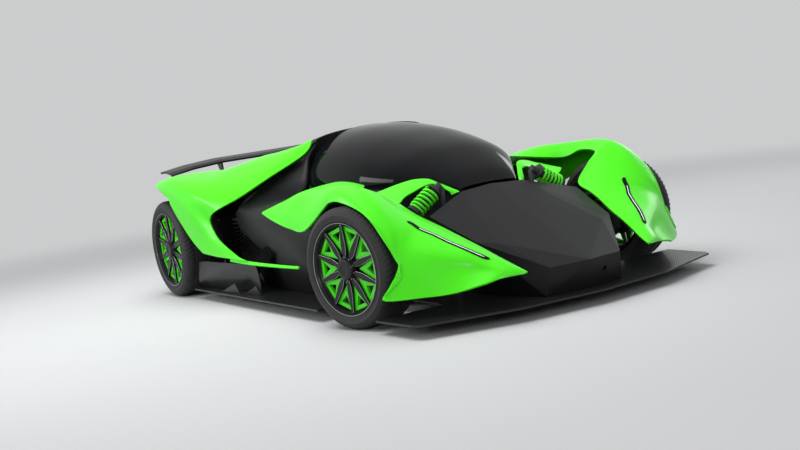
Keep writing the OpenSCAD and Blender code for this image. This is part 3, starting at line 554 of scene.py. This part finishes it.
# %% Fender blades
fender_rows = [
    [[410, -850, 249], [414, -852, 251], [419, -854, 251], [424, -855, 249], [429, -855, 246],
     [433, -854, 242]],
    [[425, -774, 281], [450, -784, 290], [477, -792, 289], [505, -798, 278], [528, -800, 260],
     [550, -797, 236]],
    [[454, -667, 331], [500, -680, 342], [545, -692, 336], [580, -698, 312], [605, -698, 280],
     [650, -754, 221]],
    [[476, -565, 377], [545, -582, 394], [612, -600, 387], [672, -615, 356], [718, -612, 310],
     [755, -668, 194]],
    [[498, -459, 421], [590, -466, 447], [684, -488, 443], [770, -525, 405], [830, -545, 318],
     [880, -560, 188]],
    [[529, -341, 474], [640, -350, 508], [752, -385, 505], [850, -440, 448], [915, -465, 345],
     [1035, -400, 195]],
    [[540, -290, 495], [650, -298, 535], [758, -330, 545], [855, -385, 510], [920, -428, 420],
     [932, -456, 300]],
    [[553, -228, 519], [668, -236, 568], [776, -268, 592], [868, -325, 575], [926, -378, 515],
     [945, -411, 426]],
    [[580, -92, 572], [682, -110, 630], [786, -150, 676], [885, -215, 676], [948, -270, 624], [965, -335, 556]],
    [[700, -60, 674], [760, -68, 708], [832, -86, 737], [912, -118, 744], [966, -150, 712], [985, -202, 653]],
    [[800, -16, 732], [836, -18, 756], [878, -20, 774], [932, -24, 780], [980, -20, 752], [1002, -13, 708]],
    [[820, 155, 744], [850, 150, 772], [884, 142, 790], [934, 130, 794], [980, 145, 764], [999, 130, 704]],
    [[770, 275, 708], [808, 280, 766], [856, 285, 790], [918, 285, 780], [966, 290, 722], [985, 255, 660]],
    [[590, 450, 744], [680, 480, 778], [778, 505, 786], [880, 522, 754], [952, 538, 650], [980, 546, 533]],
    [[690, 745, 738], [766, 775, 752], [838, 800, 744], [900, 815, 712], [943, 810, 630], [960, 782, 537]],
    [[805, 1000, 693], [840, 1012, 697], [872, 1022, 687], [902, 1030, 660], [926, 1032, 616],
     [942, 1031, 572]],
    [[898, 1258, 634], [903, 1261, 633], [908, 1263, 631], [913, 1264, 628], [917, 1263, 623], [920, 1260, 618]]
]
for side_name, on_right in SIDES:
    shell("fender_blade_" + side_name, fender_rows, green_paint, right=on_right,
          node="fender_" + side_name)
print("fender blades from", len(fender_rows), "rows")

# %% [markdown]
# ### Lamp slot
# A narrow dark slot runs along the crest of each blade, with a line of light in it. The
# slot could be cut through the shell. A thin inlay just above the paint looks the same
# from any side and keeps the shell's reflection whole.

# %% Lamp slot
smooth_fender = refine([[put(p) for p in row] for row in fender_rows], 8, 8)
# how far out on the blade the slot lies, in drawn columns, at four of its stations
slot_course = [(2.0, 1.95), (3.0, 1.80), (4.5, 1.62), (6.5, 1.95)]


def course_at(station):
    for (a, low), (b, high) in zip(slot_course, slot_course[1:]):
        if station <= b:
            return low + (high - low) * max(0.0, station - a) / (b - a)
    return slot_course[-1][1]


def inlay(name, start, end, half_width, lift, material, right):
    rows = []
    steps = end - start
    for n in range(steps + 1):
        row = smooth_fender[start + n]
        spot = course_at((start + n) / 8) * 8
        low = int(spot)
        centre = row[low].lerp(row[low + 1], spot - low)
        outward = (row[low + 1] - row[low - 1]).normalized()
        ahead = smooth_fender[start + n + 1][low] - smooth_fender[start + n - 1][low]
        normal = outward.cross(ahead).normalized()
        from_end = min(n, steps - n)
        taper = math.sqrt(1 - (1 - from_end / 2) ** 2) if from_end < 2 else 1.0
        half = half_width * max(0.15, taper)
        rows.append([centre + outward * (half * (k - 1.5) / 1.5) + normal * lift for k in range(4)])
    return belongs(skin_of(name, rows, material, 0.003, 0, right))


for side_name, on_right in SIDES:
    inlay("lamp_slot_" + side_name, 15, 52, 0.0125, 0.0012, inner_black, on_right)
    line = inlay("lamp_line_" + side_name, 17, 42, 0.0014, 0.0030, light_line, on_right)
    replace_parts(line, "headlamps")

# %% [markdown]
# ## Rear quarters
# A bow rises from the sill, turns over the shoulder and runs out along the tail. Its
# surface is a fan of rays from the inner edge of the bow to its outer edge. A thin
# blade runs forward from its lower end.

# %% Rear quarters
quarter_rows = [
    [[430, 1369, 1025], [434, 1377, 1023], [438, 1385, 1021], [442, 1393, 1019], [446, 1401, 1017]],
    [[500, 1384, 942], [500, 1404, 965], [497, 1427, 980], [490, 1452, 990], [480, 1476, 996]],
    [[680, 1592, 819], [664, 1630, 865], [622, 1672, 908], [566, 1722, 945], [500, 1767, 965]],
    [[870, 1704, 714], [856, 1800, 785], [784, 1900, 855], [664, 1990, 916], [500, 2084, 943]],
    [[970, 1842, 655], [985, 1970, 735], [938, 2130, 825], [790, 2280, 874], [600, 2430, 882]],
    [[995, 1930, 620], [1032, 2120, 756], [1008, 2380, 850], [905, 2600, 874], [700, 2790, 874]],
    [[1000, 1967, 575], [1052, 2180, 712], [1046, 2480, 826], [990, 2750, 866], [840, 2990, 866]],
    [[1000, 1937, 513], [1054, 2150, 622], [1062, 2410, 736], [1040, 2720, 804], [980, 3035, 824]],
    [[1000, 1855, 446], [1034, 2030, 502], [1052, 2210, 580], [1060, 2410, 662], [1060, 2600, 748]],
    [[998, 1720, 390], [1020, 1900, 416], [1035, 2080, 462], [1045, 2260, 516], [1050, 2440, 590]],
    [[995, 1561, 336], [1010, 1750, 354], [1025, 1920, 374], [1035, 2080, 396], [1040, 2260, 440]],
    [[992, 1430, 314], [1003, 1600, 322], [1013, 1760, 330], [1022, 1930, 338], [1030, 2110, 352]]
]
spear_rows = [
    [[990, 668, 318], [1000, 668, 304]],
    [[990, 1017, 314], [1002, 1017, 298]],
    [[990, 1440, 316], [1004, 1440, 296]],
    [[1006, 1700, 334], [1014, 1700, 304]]
]
for side_name, on_right in SIDES:
    shell("quarter_bow_" + side_name, quarter_rows, green_paint, right=on_right,
          node="quarter_" + side_name)
    blade = shell("sill_blade_" + side_name, spear_rows, green_paint, along=6, across=2,
                  right=on_right)
    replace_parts(blade, "quarter_" + side_name)

# %% [markdown]
# ## Panels beside the springs
# Between canopy and fender lies a small green cheek with a dark well below it.

# %% Panels beside the springs
cowl_rows = [
    [[217, -8, 643], [236, 0, 638], [262, 14, 628]],
    [[245, 46, 672], [256, 34, 664], [270, 24, 655]],
    [[284, 101, 705], [296, 84, 701], [310, 84, 699]],
    [[322, 152, 735], [344, 118, 720], [368, 108, 705]],
    [[390, 205, 742], [420, 152, 712], [446, 116, 682]],
    [[478, 248, 728], [502, 165, 694], [524, 106, 660]],
    [[560, 292, 706], [570, 188, 672], [580, 90, 632]],
    [[632, 326, 690], [634, 226, 672], [636, 126, 656]]
]
for side_name, on_right in SIDES:
    cheek = shell("cowl_cheek_" + side_name, [row[::-1] for row in cowl_rows], green_paint,
                  thick=0.008, right=not on_right)
    cheek.data.transform(Matrix.Diagonal((-1, 1, 1, 1)))
    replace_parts(cheek, "cowl_panels")

# %% [markdown]
# ## Canopy
# One bubble of smoked glass covers both seats. Its cross-section is a flattened arc that
# is given by five angles, and the arc grows from the windscreen to the roof.

# %% Canopy
dome_rows = [
    [4, 200, 650, 668], [100, 262, 688, 745], [250, 360, 716, 834], [400, 450, 716, 908],
    [600, 500, 716, 974], [800, 520, 716, 1024], [1060, 524, 716, 1064], [1340, 518, 716, 1080]
]
dome_angles = [0, 8, 16, 25, 34, 44, 54, 64, 73, 82, 90]


def dome_point(station, angle, grow=0.0):
    place, half, low, high = station
    c, s = max(0.0, math.cos(math.radians(angle))), math.sin(math.radians(angle))
    return ((half + grow) * c ** 0.86, place, low + (high - low + grow) * s ** 0.92)


def arch(station):
    right_half = [dome_point(station, a) for a in dome_angles]
    return [(-x, y, z) for x, y, z in right_half] + right_half[-2::-1]


shell("canopy_bubble", [arch(s) for s in dome_rows], canopy_tint, along=6, across=2,
      thick=0.008, body="canopy", node="canopy_glass")

# %% [markdown]
# ## Black body sides
# Behind the fender the side is a dark shell that rises under the glass, and behind the
# bow it narrows like the nose of a bullet. A fan of thin vanes lies in the gap: each is
# a flat blade on a ray from one centre, which a turned ring of copies would do as well.

# %% Black body sides
pod_rows = [
    [[395, 200, 700], [402, 200, 680], [408, 200, 640], [410, 200, 560], [410, 200, 470],
     [410, 200, 350], [408, 200, 220], [405, 200, 79]],
    [[474, 330, 700], [484, 330, 690], [494, 330, 650], [500, 330, 570], [500, 330, 470],
     [500, 330, 350], [500, 330, 220], [500, 330, 79]],
    [[502, 450, 702], [540, 450, 696], [585, 450, 668], [620, 450, 590], [630, 450, 480],
     [630, 450, 360], [625, 450, 220], [620, 450, 79]],
    [[520, 640, 702], [600, 640, 696], [690, 640, 668], [756, 640, 600], [776, 640, 480],
     [766, 640, 350], [735, 640, 200], [700, 640, 79]],
    [[534, 900, 702], [630, 900, 694], [745, 900, 662], [826, 900, 596], [860, 900, 480],
     [850, 900, 350], [805, 900, 200], [760, 900, 79]],
    [[538, 1200, 702], [650, 1200, 692], [785, 1200, 664], [878, 1200, 620], [898, 1200, 520],
     [860, 1200, 370], [805, 1200, 200], [760, 1200, 79]],
    [[536, 1352, 702], [650, 1352, 692], [790, 1352, 668], [890, 1352, 624], [900, 1352, 520],
     [858, 1352, 370], [805, 1352, 200], [760, 1352, 79]]
]
bullet_rows = [
    [[404, 1348, 984], [476, 1348, 908], [498, 1348, 818], [536, 1348, 722], [630, 1347, 676],
     [775, 1347, 650], [868, 1347, 610], [878, 1347, 516], [838, 1347, 370], [786, 1347, 200],
     [742, 1347, 79]],
    [[432, 1347, 1000], [500, 1347, 922], [524, 1347, 830], [560, 1347, 735], [645, 1347, 690],
     [785, 1347, 664], [884, 1347, 620], [894, 1347, 520], [852, 1347, 370], [799, 1347, 200],
     [754, 1347, 79]],
    [[470, 1450, 930], [520, 1450, 878], [556, 1450, 806], [600, 1450, 735], [680, 1450, 690],
     [795, 1450, 662], [884, 1450, 622], [892, 1450, 520], [846, 1450, 370], [792, 1450, 200],
     [748, 1450, 79]],
    [[560, 1600, 862], [605, 1600, 816], [640, 1600, 770], [685, 1600, 724], [750, 1600, 686],
     [825, 1600, 655], [882, 1600, 624], [886, 1600, 520], [836, 1600, 370], [782, 1600, 200],
     [738, 1600, 79]],
    [[700, 1740, 752], [735, 1740, 728], [766, 1740, 706], [800, 1740, 686], [832, 1740, 664],
     [856, 1740, 644], [872, 1740, 616], [868, 1740, 520], [818, 1740, 370], [766, 1740, 200],
     [722, 1740, 79]],
    [[766, 1890, 676], [782, 1890, 662], [798, 1890, 648], [813, 1890, 634], [826, 1890, 618],
     [836, 1890, 603], [842, 1890, 588], [830, 1890, 500], [786, 1890, 360], [738, 1890, 200],
     [700, 1890, 79]],
    [[640, 1985, 650], [656, 1985, 640], [672, 1985, 628], [688, 1985, 612], [702, 1985, 596],
     [712, 1985, 578], [718, 1985, 560], [712, 1985, 480], [690, 1985, 350], [660, 1985, 200],
     [630, 1985, 79]],
    [[430, 2040, 620], [440, 2040, 612], [450, 2040, 600], [458, 2040, 586], [466, 2040, 570],
     [472, 2040, 552], [476, 2040, 530], [476, 2040, 450], [470, 2040, 340], [460, 2040, 200],
     [450, 2040, 79]]
]
for side_name, on_right in SIDES:
    shell("side_shell_" + side_name, pod_rows, black_paint, along=5, across=4, right=on_right,
          node="pod_" + side_name)
    bullet = shell("rear_shell_" + side_name, bullet_rows, black_paint, along=5, across=4,
                   right=on_right)
    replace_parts(bullet, "pod_" + side_name)

# %% Intake vanes


def vane_fan(name, count, on_right):
    hub = put((800, 1560, 520))
    points, faces = [], []
    for n in range(count):
        angle = math.radians(-8 + 150 * n / (count - 1))
        out_reach = 0.300 - 0.030 * math.sin(angle)
        ray = Vector((0, math.cos(angle), -math.sin(angle)))
        side_way = Vector((0, math.sin(angle), math.cos(angle)))
        start = len(points)
        for reach, depth in ((0.160, -0.060), (out_reach + 0.03, -0.060), (out_reach + 0.03, 0.080), (0.160, 0.050)):
            for half in (-0.0018, 0.0018):
                corner = hub + ray * reach + Vector((depth, 0, 0)) + side_way * half
                points.append(Vector((-corner.x, corner.y, corner.z)) if on_right else corner)
        quad = [(0, 2, 4, 6), (7, 5, 3, 1), (0, 1, 3, 2), (2, 3, 5, 4), (4, 5, 7, 6), (6, 7, 1, 0)]
        for face in quad:
            ring = tuple(start + k for k in face)
            faces.append(ring if on_right else ring[::-1])
    return belongs(finish_mesh(name, points, faces, spoke_black))


for side_name, on_right in SIDES:
    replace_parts(vane_fan("intake_vanes_" + side_name, 30, on_right), "pod_" + side_name)

# %% [markdown]
# ## Inner walls
# Dark sheet closes the view behind the seats and ahead of the rear wheels, as the
# firewall and the wheel-house walls do on a real car.

# %% Inner walls


def inner_wall(name, outline, rear, body):
    front = [put((x, rear, z)) for x, z in outline]
    back = [put((x, rear + 4, z)) for x, z in outline]
    n = len(outline)
    faces = [tuple(range(n)), tuple(n + k for k in reversed(range(n)))]
    faces += [(k, n + k, n + (k + 1) % n, (k + 1) % n) for k in range(n)]
    return belongs(finish_mesh(name, front + back, faces, inner_black), body)


inner_wall("engine_bay_wall", [(-800, 105), (800, 105), (800, 560), (-800, 560)], 2320, "body")
dome_edge = [(490 * math.cos(math.radians(a)) ** 0.86, 724 + 335 * math.sin(math.radians(a)) ** 0.92)
             for a in range(0, 90, 10)] + [(0, 1059)]
dome_wall = dome_edge + [(-x, z) for x, z in reversed(dome_edge[:-1])]
inner_wall("canopy_rear_wall", dome_wall[::-1], 1300, "canopy")

# %% [markdown]
# ## Engine cover and tail
# The cover carries the line of the roof down to the tail. The wing, one thin plate on
# two short struts, cambered a little so that its upper face catches the light, stays a CAD solid.

# %% Engine cover and tail
cover_rows = [
    [1352, 420, 1012, 1076], [1470, 456, 978, 1062], [1767, 478, 946, 1012],
    [2084, 480, 924, 932], [2400, 560, 868, 874], [2790, 650, 852, 858], [2990, 780, 848, 852]
]


def cover_arch(place, half, low, high):
    return [(half * math.sin(math.radians(a)), place,
             low + (high - low) * max(0.0, math.cos(math.radians(a))) ** 0.8)
            for a in range(-90, 91, 15)]


shell("engine_lid", [cover_arch(*s) for s in cover_rows], black_paint, along=6, across=2,
      node="engine_cover")
tail_rows = [
    [[-800, 3000, 830], [-400, 3020, 836], [0, 3026, 838], [400, 3020, 836], [800, 3000, 830]],
    [[-820, 3032.3, 722], [-400, 3062, 700], [0, 3070, 700], [400, 3062, 700], [820, 3032.3, 722]],
    [[-690, 3028, 560], [-400, 3040, 540], [0, 3046, 530], [400, 3040, 540], [690, 3028, 560]],
    [[-640, 2960, 330], [-400, 2970, 320], [0, 2974, 315], [400, 2970, 320], [640, 2960, 330]]
]
shell("tail_skin", tail_rows, black_paint, along=4, across=6, node="tail_panel")

# %% [markdown]
# ## Wheels
# A wheel is built up on one axle: tyre, black barrel with a polished edge, black spokes
# round a wide cap, green frames behind them, and the brake disc. All are turned or
# extruded about the local z axis, which points outward, and then stood up at the hub.

# %% Wheel tools


def lathe(name, profile, segments, material, closed=True, angle=30):
    points, faces = [], []
    for s in range(segments):
        turn = 2 * math.pi * s / segments
        for radius, height in profile:
            points.append((radius * math.cos(turn), radius * math.sin(turn), height))
    count = len(profile)
    spans = count if closed else count - 1
    for s in range(segments):
        for k in range(spans):
            a, b = s * count + k, s * count + (k + 1) % count
            c, d = ((s + 1) % segments) * count + k, ((s + 1) % segments) * count + (k + 1) % count
            faces.append((a, c, d, b))
    piece = finish_mesh(name, points, faces, material, angle)
    return piece


def prisms(name, outlines, low, high, material):
    points, faces = [], []
    for outline in outlines:
        start, n = len(points), len(outline)
        points += [(x, y, low) for x, y in outline] + [(x, y, high) for x, y in outline]
        faces.append(tuple(start + n + k for k in range(n)))
        faces.append(tuple(start + k for k in reversed(range(n))))
        for k in range(n):
            m = (k + 1) % n
            faces.append((start + k, start + m, start + n + m, start + n + k))
    piece = finish_mesh(name, points, faces, material)
    return piece


def turned(outline, angle):
    c, s = math.cos(angle), math.sin(angle)
    return [(x * c - y * s, x * s + y * c) for x, y in outline]


def hub_matrix(name):
    steer = math.radians(12.7)
    if name in ("fl", "fr"):
        sign = 1 if name == "fl" else -1
        spot = Vector((sign * (0.885 + 0.040 * math.cos(steer)), FRONT_AXLE + sign * 0.040 * math.sin(steer), 0.342))
        turn = steer
    else:
        sign = 1 if name == "rl" else -1
        spot = Vector((sign * 0.912, FRONT_AXLE + 2.760, 0.358))
        turn = 0
    stand = Matrix.Rotation(turn + (math.pi if sign < 0 else 0), 4, "Z") @ Matrix.Rotation(math.radians(90), 4, "Y")
    return Matrix.Translation(spot) @ stand


# %% [markdown]
# ### Tyre
# The profile runs from bead to bead. Four grooves go round the tread, and slanted
# grooves cross its shoulders. A bump could fake them, but the tread shows in outline
# against the fender, so the slanted grooves are pressed into the mesh itself.

# %% Tyre


def tyre_profile(radius, width, wall):
    bead, half = radius - wall, width / 2
    side_out = [(bead, half - 0.016), (bead + 0.004, half - 0.009), (bead + 0.010, half - 0.005),
                (bead + 0.014, half - 0.0035), (bead + 0.017, half - 0.0060), (bead + 0.022, half - 0.0045),
                (bead + wall * 0.5, half - 0.0005), (radius - 0.034, half - 0.0045), (radius - 0.031, half - 0.0062),
                (radius - 0.026, half - 0.008), (radius - 0.017, half - 0.0140), (radius - 0.008, half - 0.022),
                (radius - 0.003, half - 0.034)]
    tread = []
    flat = half - 0.046
    groove_at = (flat * 0.70, flat * 0.10)
    steps = 22
    for n in range(steps + 1):
        z = flat - flat * n / steps
        depth = 0.007 if any(abs(z - g) < 0.0042 for g in groove_at) else 0.0
        tread.append((radius - depth, z))
    outer = side_out + tread
    inner_wall = [(bead, -(half - 0.034)), (radius - 0.020, -(half - 0.050)),
                  (radius - 0.020, half - 0.050), (bead, half - 0.034)]
    lower = [(r, -z) for r, z in reversed(outer[:-1])]
    return outer + lower + inner_wall


def make_tyre(name, radius, width, wall):
    piece = lathe(name, tyre_profile(radius, width, wall), 360, rubber)
    half = width / 2
    for vertex in piece.data.vertices:
        r = math.hypot(vertex.co.x, vertex.co.y)
        if r < radius - 0.0165 or (r > radius - 0.0205 and r < radius - 0.0195 and abs(vertex.co.z) < half - 0.045):
            continue
        turn = math.atan2(vertex.co.y, vertex.co.x) / (2 * math.pi)
        z = abs(vertex.co.z)
        if z < half * 0.34:
            continue
        phase = (turn * 72 + z * 16) % 1.0
        if phase < 0.30:
            shrink = 1 - 0.0045 / r
            vertex.co.x *= shrink
            vertex.co.y *= shrink
    return piece


# %% [markdown]
# ### Barrel, spokes and frames
# The black spokes are flat paddles with a machined edge. Between each pair lies a green
# triangular frame, a little deeper in the wheel, and the barrel behind them is black.

# %% Barrel, spokes and frames


def barrel_profile(bead, half):
    return [(bead - 0.010, -half + 0.008), (bead, -half + 0.008), (bead, -half + 0.040),
            (bead - 0.024, -half + 0.060),
            (bead - 0.024, half - 0.060), (bead, half - 0.040), (bead, half - 0.030), (bead - 0.018, half - 0.030),
            (bead - 0.026, half - 0.046), (bead - 0.036, half - 0.060), (bead - 0.036, -half + 0.058),
            (bead - 0.012, -half + 0.036)]


def lip_profile(bead, half):
    return [(bead, half - 0.0298), (bead, half - 0.008), (bead - 0.006, half - 0.0075), (bead - 0.009, half - 0.012),
            (bead - 0.014, half - 0.016), (bead - 0.0165, half - 0.0298)]


def paddle(tip):
    left = [(0.062, 0.008), (0.080, 0.0120), (0.105, 0.0175), (0.135, 0.0190), (0.175, 0.0155), (tip - 0.03, 0.0110),
            (tip, 0.0090)]
    return [(x, -y) for x, y in left] + [(x, y) for x, y in reversed(left)]


def triangle_frame(inner, outer, half_gap, angle):
    apex, wide = (inner, 0.0), outer
    spread = math.tan(half_gap)
    outer_ring = [apex, (wide, wide * spread), (wide, -wide * spread)]
    hole = [(inner + 0.066, 0.0), (wide - 0.021, wide * spread - 0.029), (wide - 0.021, -wide * spread + 0.029)]
    bars = []
    for k in range(3):
        m = (k + 1) % 3
        bars.append(turned([outer_ring[m], outer_ring[k], hole[k], hole[m]], angle))
    return bars


def bolt_heads(count, ring_radius, size, angle0=0.0):
    return [turned([(ring_radius + size * math.cos(math.radians(60 * k)), size * math.sin(math.radians(60 * k)))
                    for k in range(6)], angle0 + 2 * math.pi * n / count) for n in range(count)]


def make_wheel(name, radius, width, wall):
    bead, half = radius - wall - 0.0003, width / 2
    tip = bead - 0.0165
    pieces = {"tyre": [make_tyre("tyre_tread_" + name, radius, width, wall)]}
    barrel = lathe("rim_barrel_" + name, barrel_profile(bead, half), 128, spoke_black)
    lip = lathe("rim_lip_" + name, lip_profile(bead, half), 128, spoke_black, angle=50)
    edge = lathe("rim_edge_" + name, [(bead - 0.0005, half - 0.0082), (bead - 0.0005, half - 0.0064),
                                      (bead - 0.0055, half - 0.0062), (bead - 0.0058, half - 0.0080)],
                 128, polished, angle=50)
    step = 2 * math.pi / 10
    frames = []
    for n in range(10):
        frames += triangle_frame(0.090, bead - 0.032, step / 2 * 0.90, (n + 0.5) * step)
    inserts = prisms("green_frames_" + name, frames, half - 0.060, half - 0.0405, rim_green)
    pieces["rim"] = [barrel, lip, edge, inserts]
    spokes = prisms("black_spokes_" + name, [turned(paddle(tip), n * step) for n in range(10)],
                    half - 0.040, half - 0.024, spoke_black)
    soften(spokes, 0.0014, 1, 40, machined)
    hub = lathe("hub_" + name, [
        (0.0001, half - 0.120), (0.055, half - 0.120), (0.055, half - 0.050), (0.066, half - 0.042),
        (0.070, half - 0.036),
        (0.070, half - 0.026), (0.068, half - 0.021), (0.062, half - 0.0215), (0.060, half - 0.014),
        (0.055, half - 0.008), (0.044, half - 0.0055), (0.030, half - 0.006),
        (0.028, half - 0.0085), (0.0001, half - 0.009)], 96, spoke_black, closed=False)
    bolts = prisms("hub_bolts_" + name, bolt_heads(10, 0.0655, 0.0032), half - 0.026, half - 0.0195,
                   machined)
    disc = lathe("brake_disc_" + name, [
        (0.056, half - 0.106), (0.155, half - 0.106), (0.155, half - 0.111), (0.150, half - 0.1115),
        (0.150, half - 0.1145), (0.155, half - 0.115), (0.155, half - 0.120), (0.056, half - 0.120)], 96,
        disc_steel)
    pieces["spokes"] = [spokes, hub, bolts, disc]
    place = hub_matrix(name)
    for family, members in pieces.items():
        for piece in members:
            piece.data.transform(place)
            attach(piece, "wheel_" + name)
            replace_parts(piece, family + "_" + name)
    return pieces


for wheel_name in ("fl", "fr"):
    make_wheel(wheel_name, 0.342, 0.270, 0.080)
for wheel_name in ("rl", "rr"):
    wheel_set = make_wheel(wheel_name, 0.358, 0.320, 0.083)
print("wheels done, faces in one tyre:", len(wheel_set["tyre"][0].data.polygons))

# %% [markdown]
# ## Springs
# Each front spring is a thick wire wound on the damper's line, open to view between the
# cheek and the nose. A curve with a round bevel would do; a swept mesh gives the ground
# flat ends as well.

# %% Springs


def coil(name, start, end, outer, wire, turns, material):
    axis = (end - start).normalized()
    helper = Vector((0, 1, 0))
    u_dir = axis.cross(helper).normalized()
    v_dir = axis.cross(u_dir)
    radius = (outer - wire) / 2
    steps, sides = int(turns * 36), 14
    points, faces = [], []
    length = (end - start).length
    for i in range(steps + 1):
        t = i / steps
        # the end coils lie closer together than the middle ones
        rise = t - 0.018 * math.sin(2 * math.pi * t)
        turn = 2 * math.pi * turns * t
        radial = u_dir * math.cos(turn) + v_dir * math.sin(turn)
        for k in range(sides):
            q = 2 * math.pi * k / sides
            up, out_way = wire / 2 * math.sin(q), wire / 2 * math.cos(q)
            points.append(start + axis * (length * rise + up) + radial * (radius + out_way))
    for i in range(steps):
        for k in range(sides):
            a, b = i * sides + k, i * sides + (k + 1) % sides
            faces.append((a, b, b + sides, a + sides))
    faces.append(tuple(range(sides))[::-1])
    faces.append(tuple(steps * sides + k for k in range(sides)))
    return belongs(finish_mesh(name, points, faces, material, 50))


damp_low, damp_top = put((518, 20, 574)), put((378, 20, 666))
damp_dir = (damp_top - damp_low).normalized()
lift = damp_dir * (0.0075 + 0.0003)
for side_name, on_right in SIDES:
    flip = Vector((-1, 1, 1)) if on_right else Vector((1, 1, 1))
    spring = coil("spring_" + side_name, (damp_low + lift) * flip, (damp_top - lift) * flip,
                  0.108, 0.015, 6, spring_coat)
    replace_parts(spring, "springs")

# %% [markdown]
# ## Solids that stay
# The faceted nose, the floor, the suspension and the cabin have their final shape in the
# CAD model. They only get a finish, and a small bevel so that no edge is knife sharp.

# %% Solids that stay
kept = {
    "nose": (black_paint, 0.004), "floor_plate": (carbon, 0.003), "diffuser": (carbon, 0.002),
    "side_fins": (carbon, 0.002), "rear_wing": (carbon, 0.003), "canopy_frame": (inner_black, 0.002),
    "canopy_hinges": (powder_steel, 0.001), "tail_lamps": (red_lens, 0.001), "tub": (trim, 0.002),
    "seats": (leather, 0.012), "dashboard": (trim, 0.008), "steering_wheel": (grip_leather, 0.002),
    "engine_block": (cast_alloy, 0.006), "front_arms": (powder_steel, 0.001), "rear_arms": (powder_steel, 0.001),
    "dampers": (powder_steel, 0.001), "rear_uprights": (cast_alloy, 0.003),
    "knuckle_left": (cast_alloy, 0.003), "knuckle_right": (cast_alloy, 0.003),
}
hidden = {name for name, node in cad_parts.items() if node.hide_render}
for name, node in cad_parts.items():
    material, width = kept.get(name, (inner_black, 0.001))
    node.data.materials.clear()
    node.data.materials.append(material)
    if name not in hidden:
        weld = node.modifiers.new("weld", "WELD")
        weld.merge_threshold = 0.00005
        soften(node, width, 2, 30)
print("kept solids:", len(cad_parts) - len(hidden), "replaced:", len(hidden))
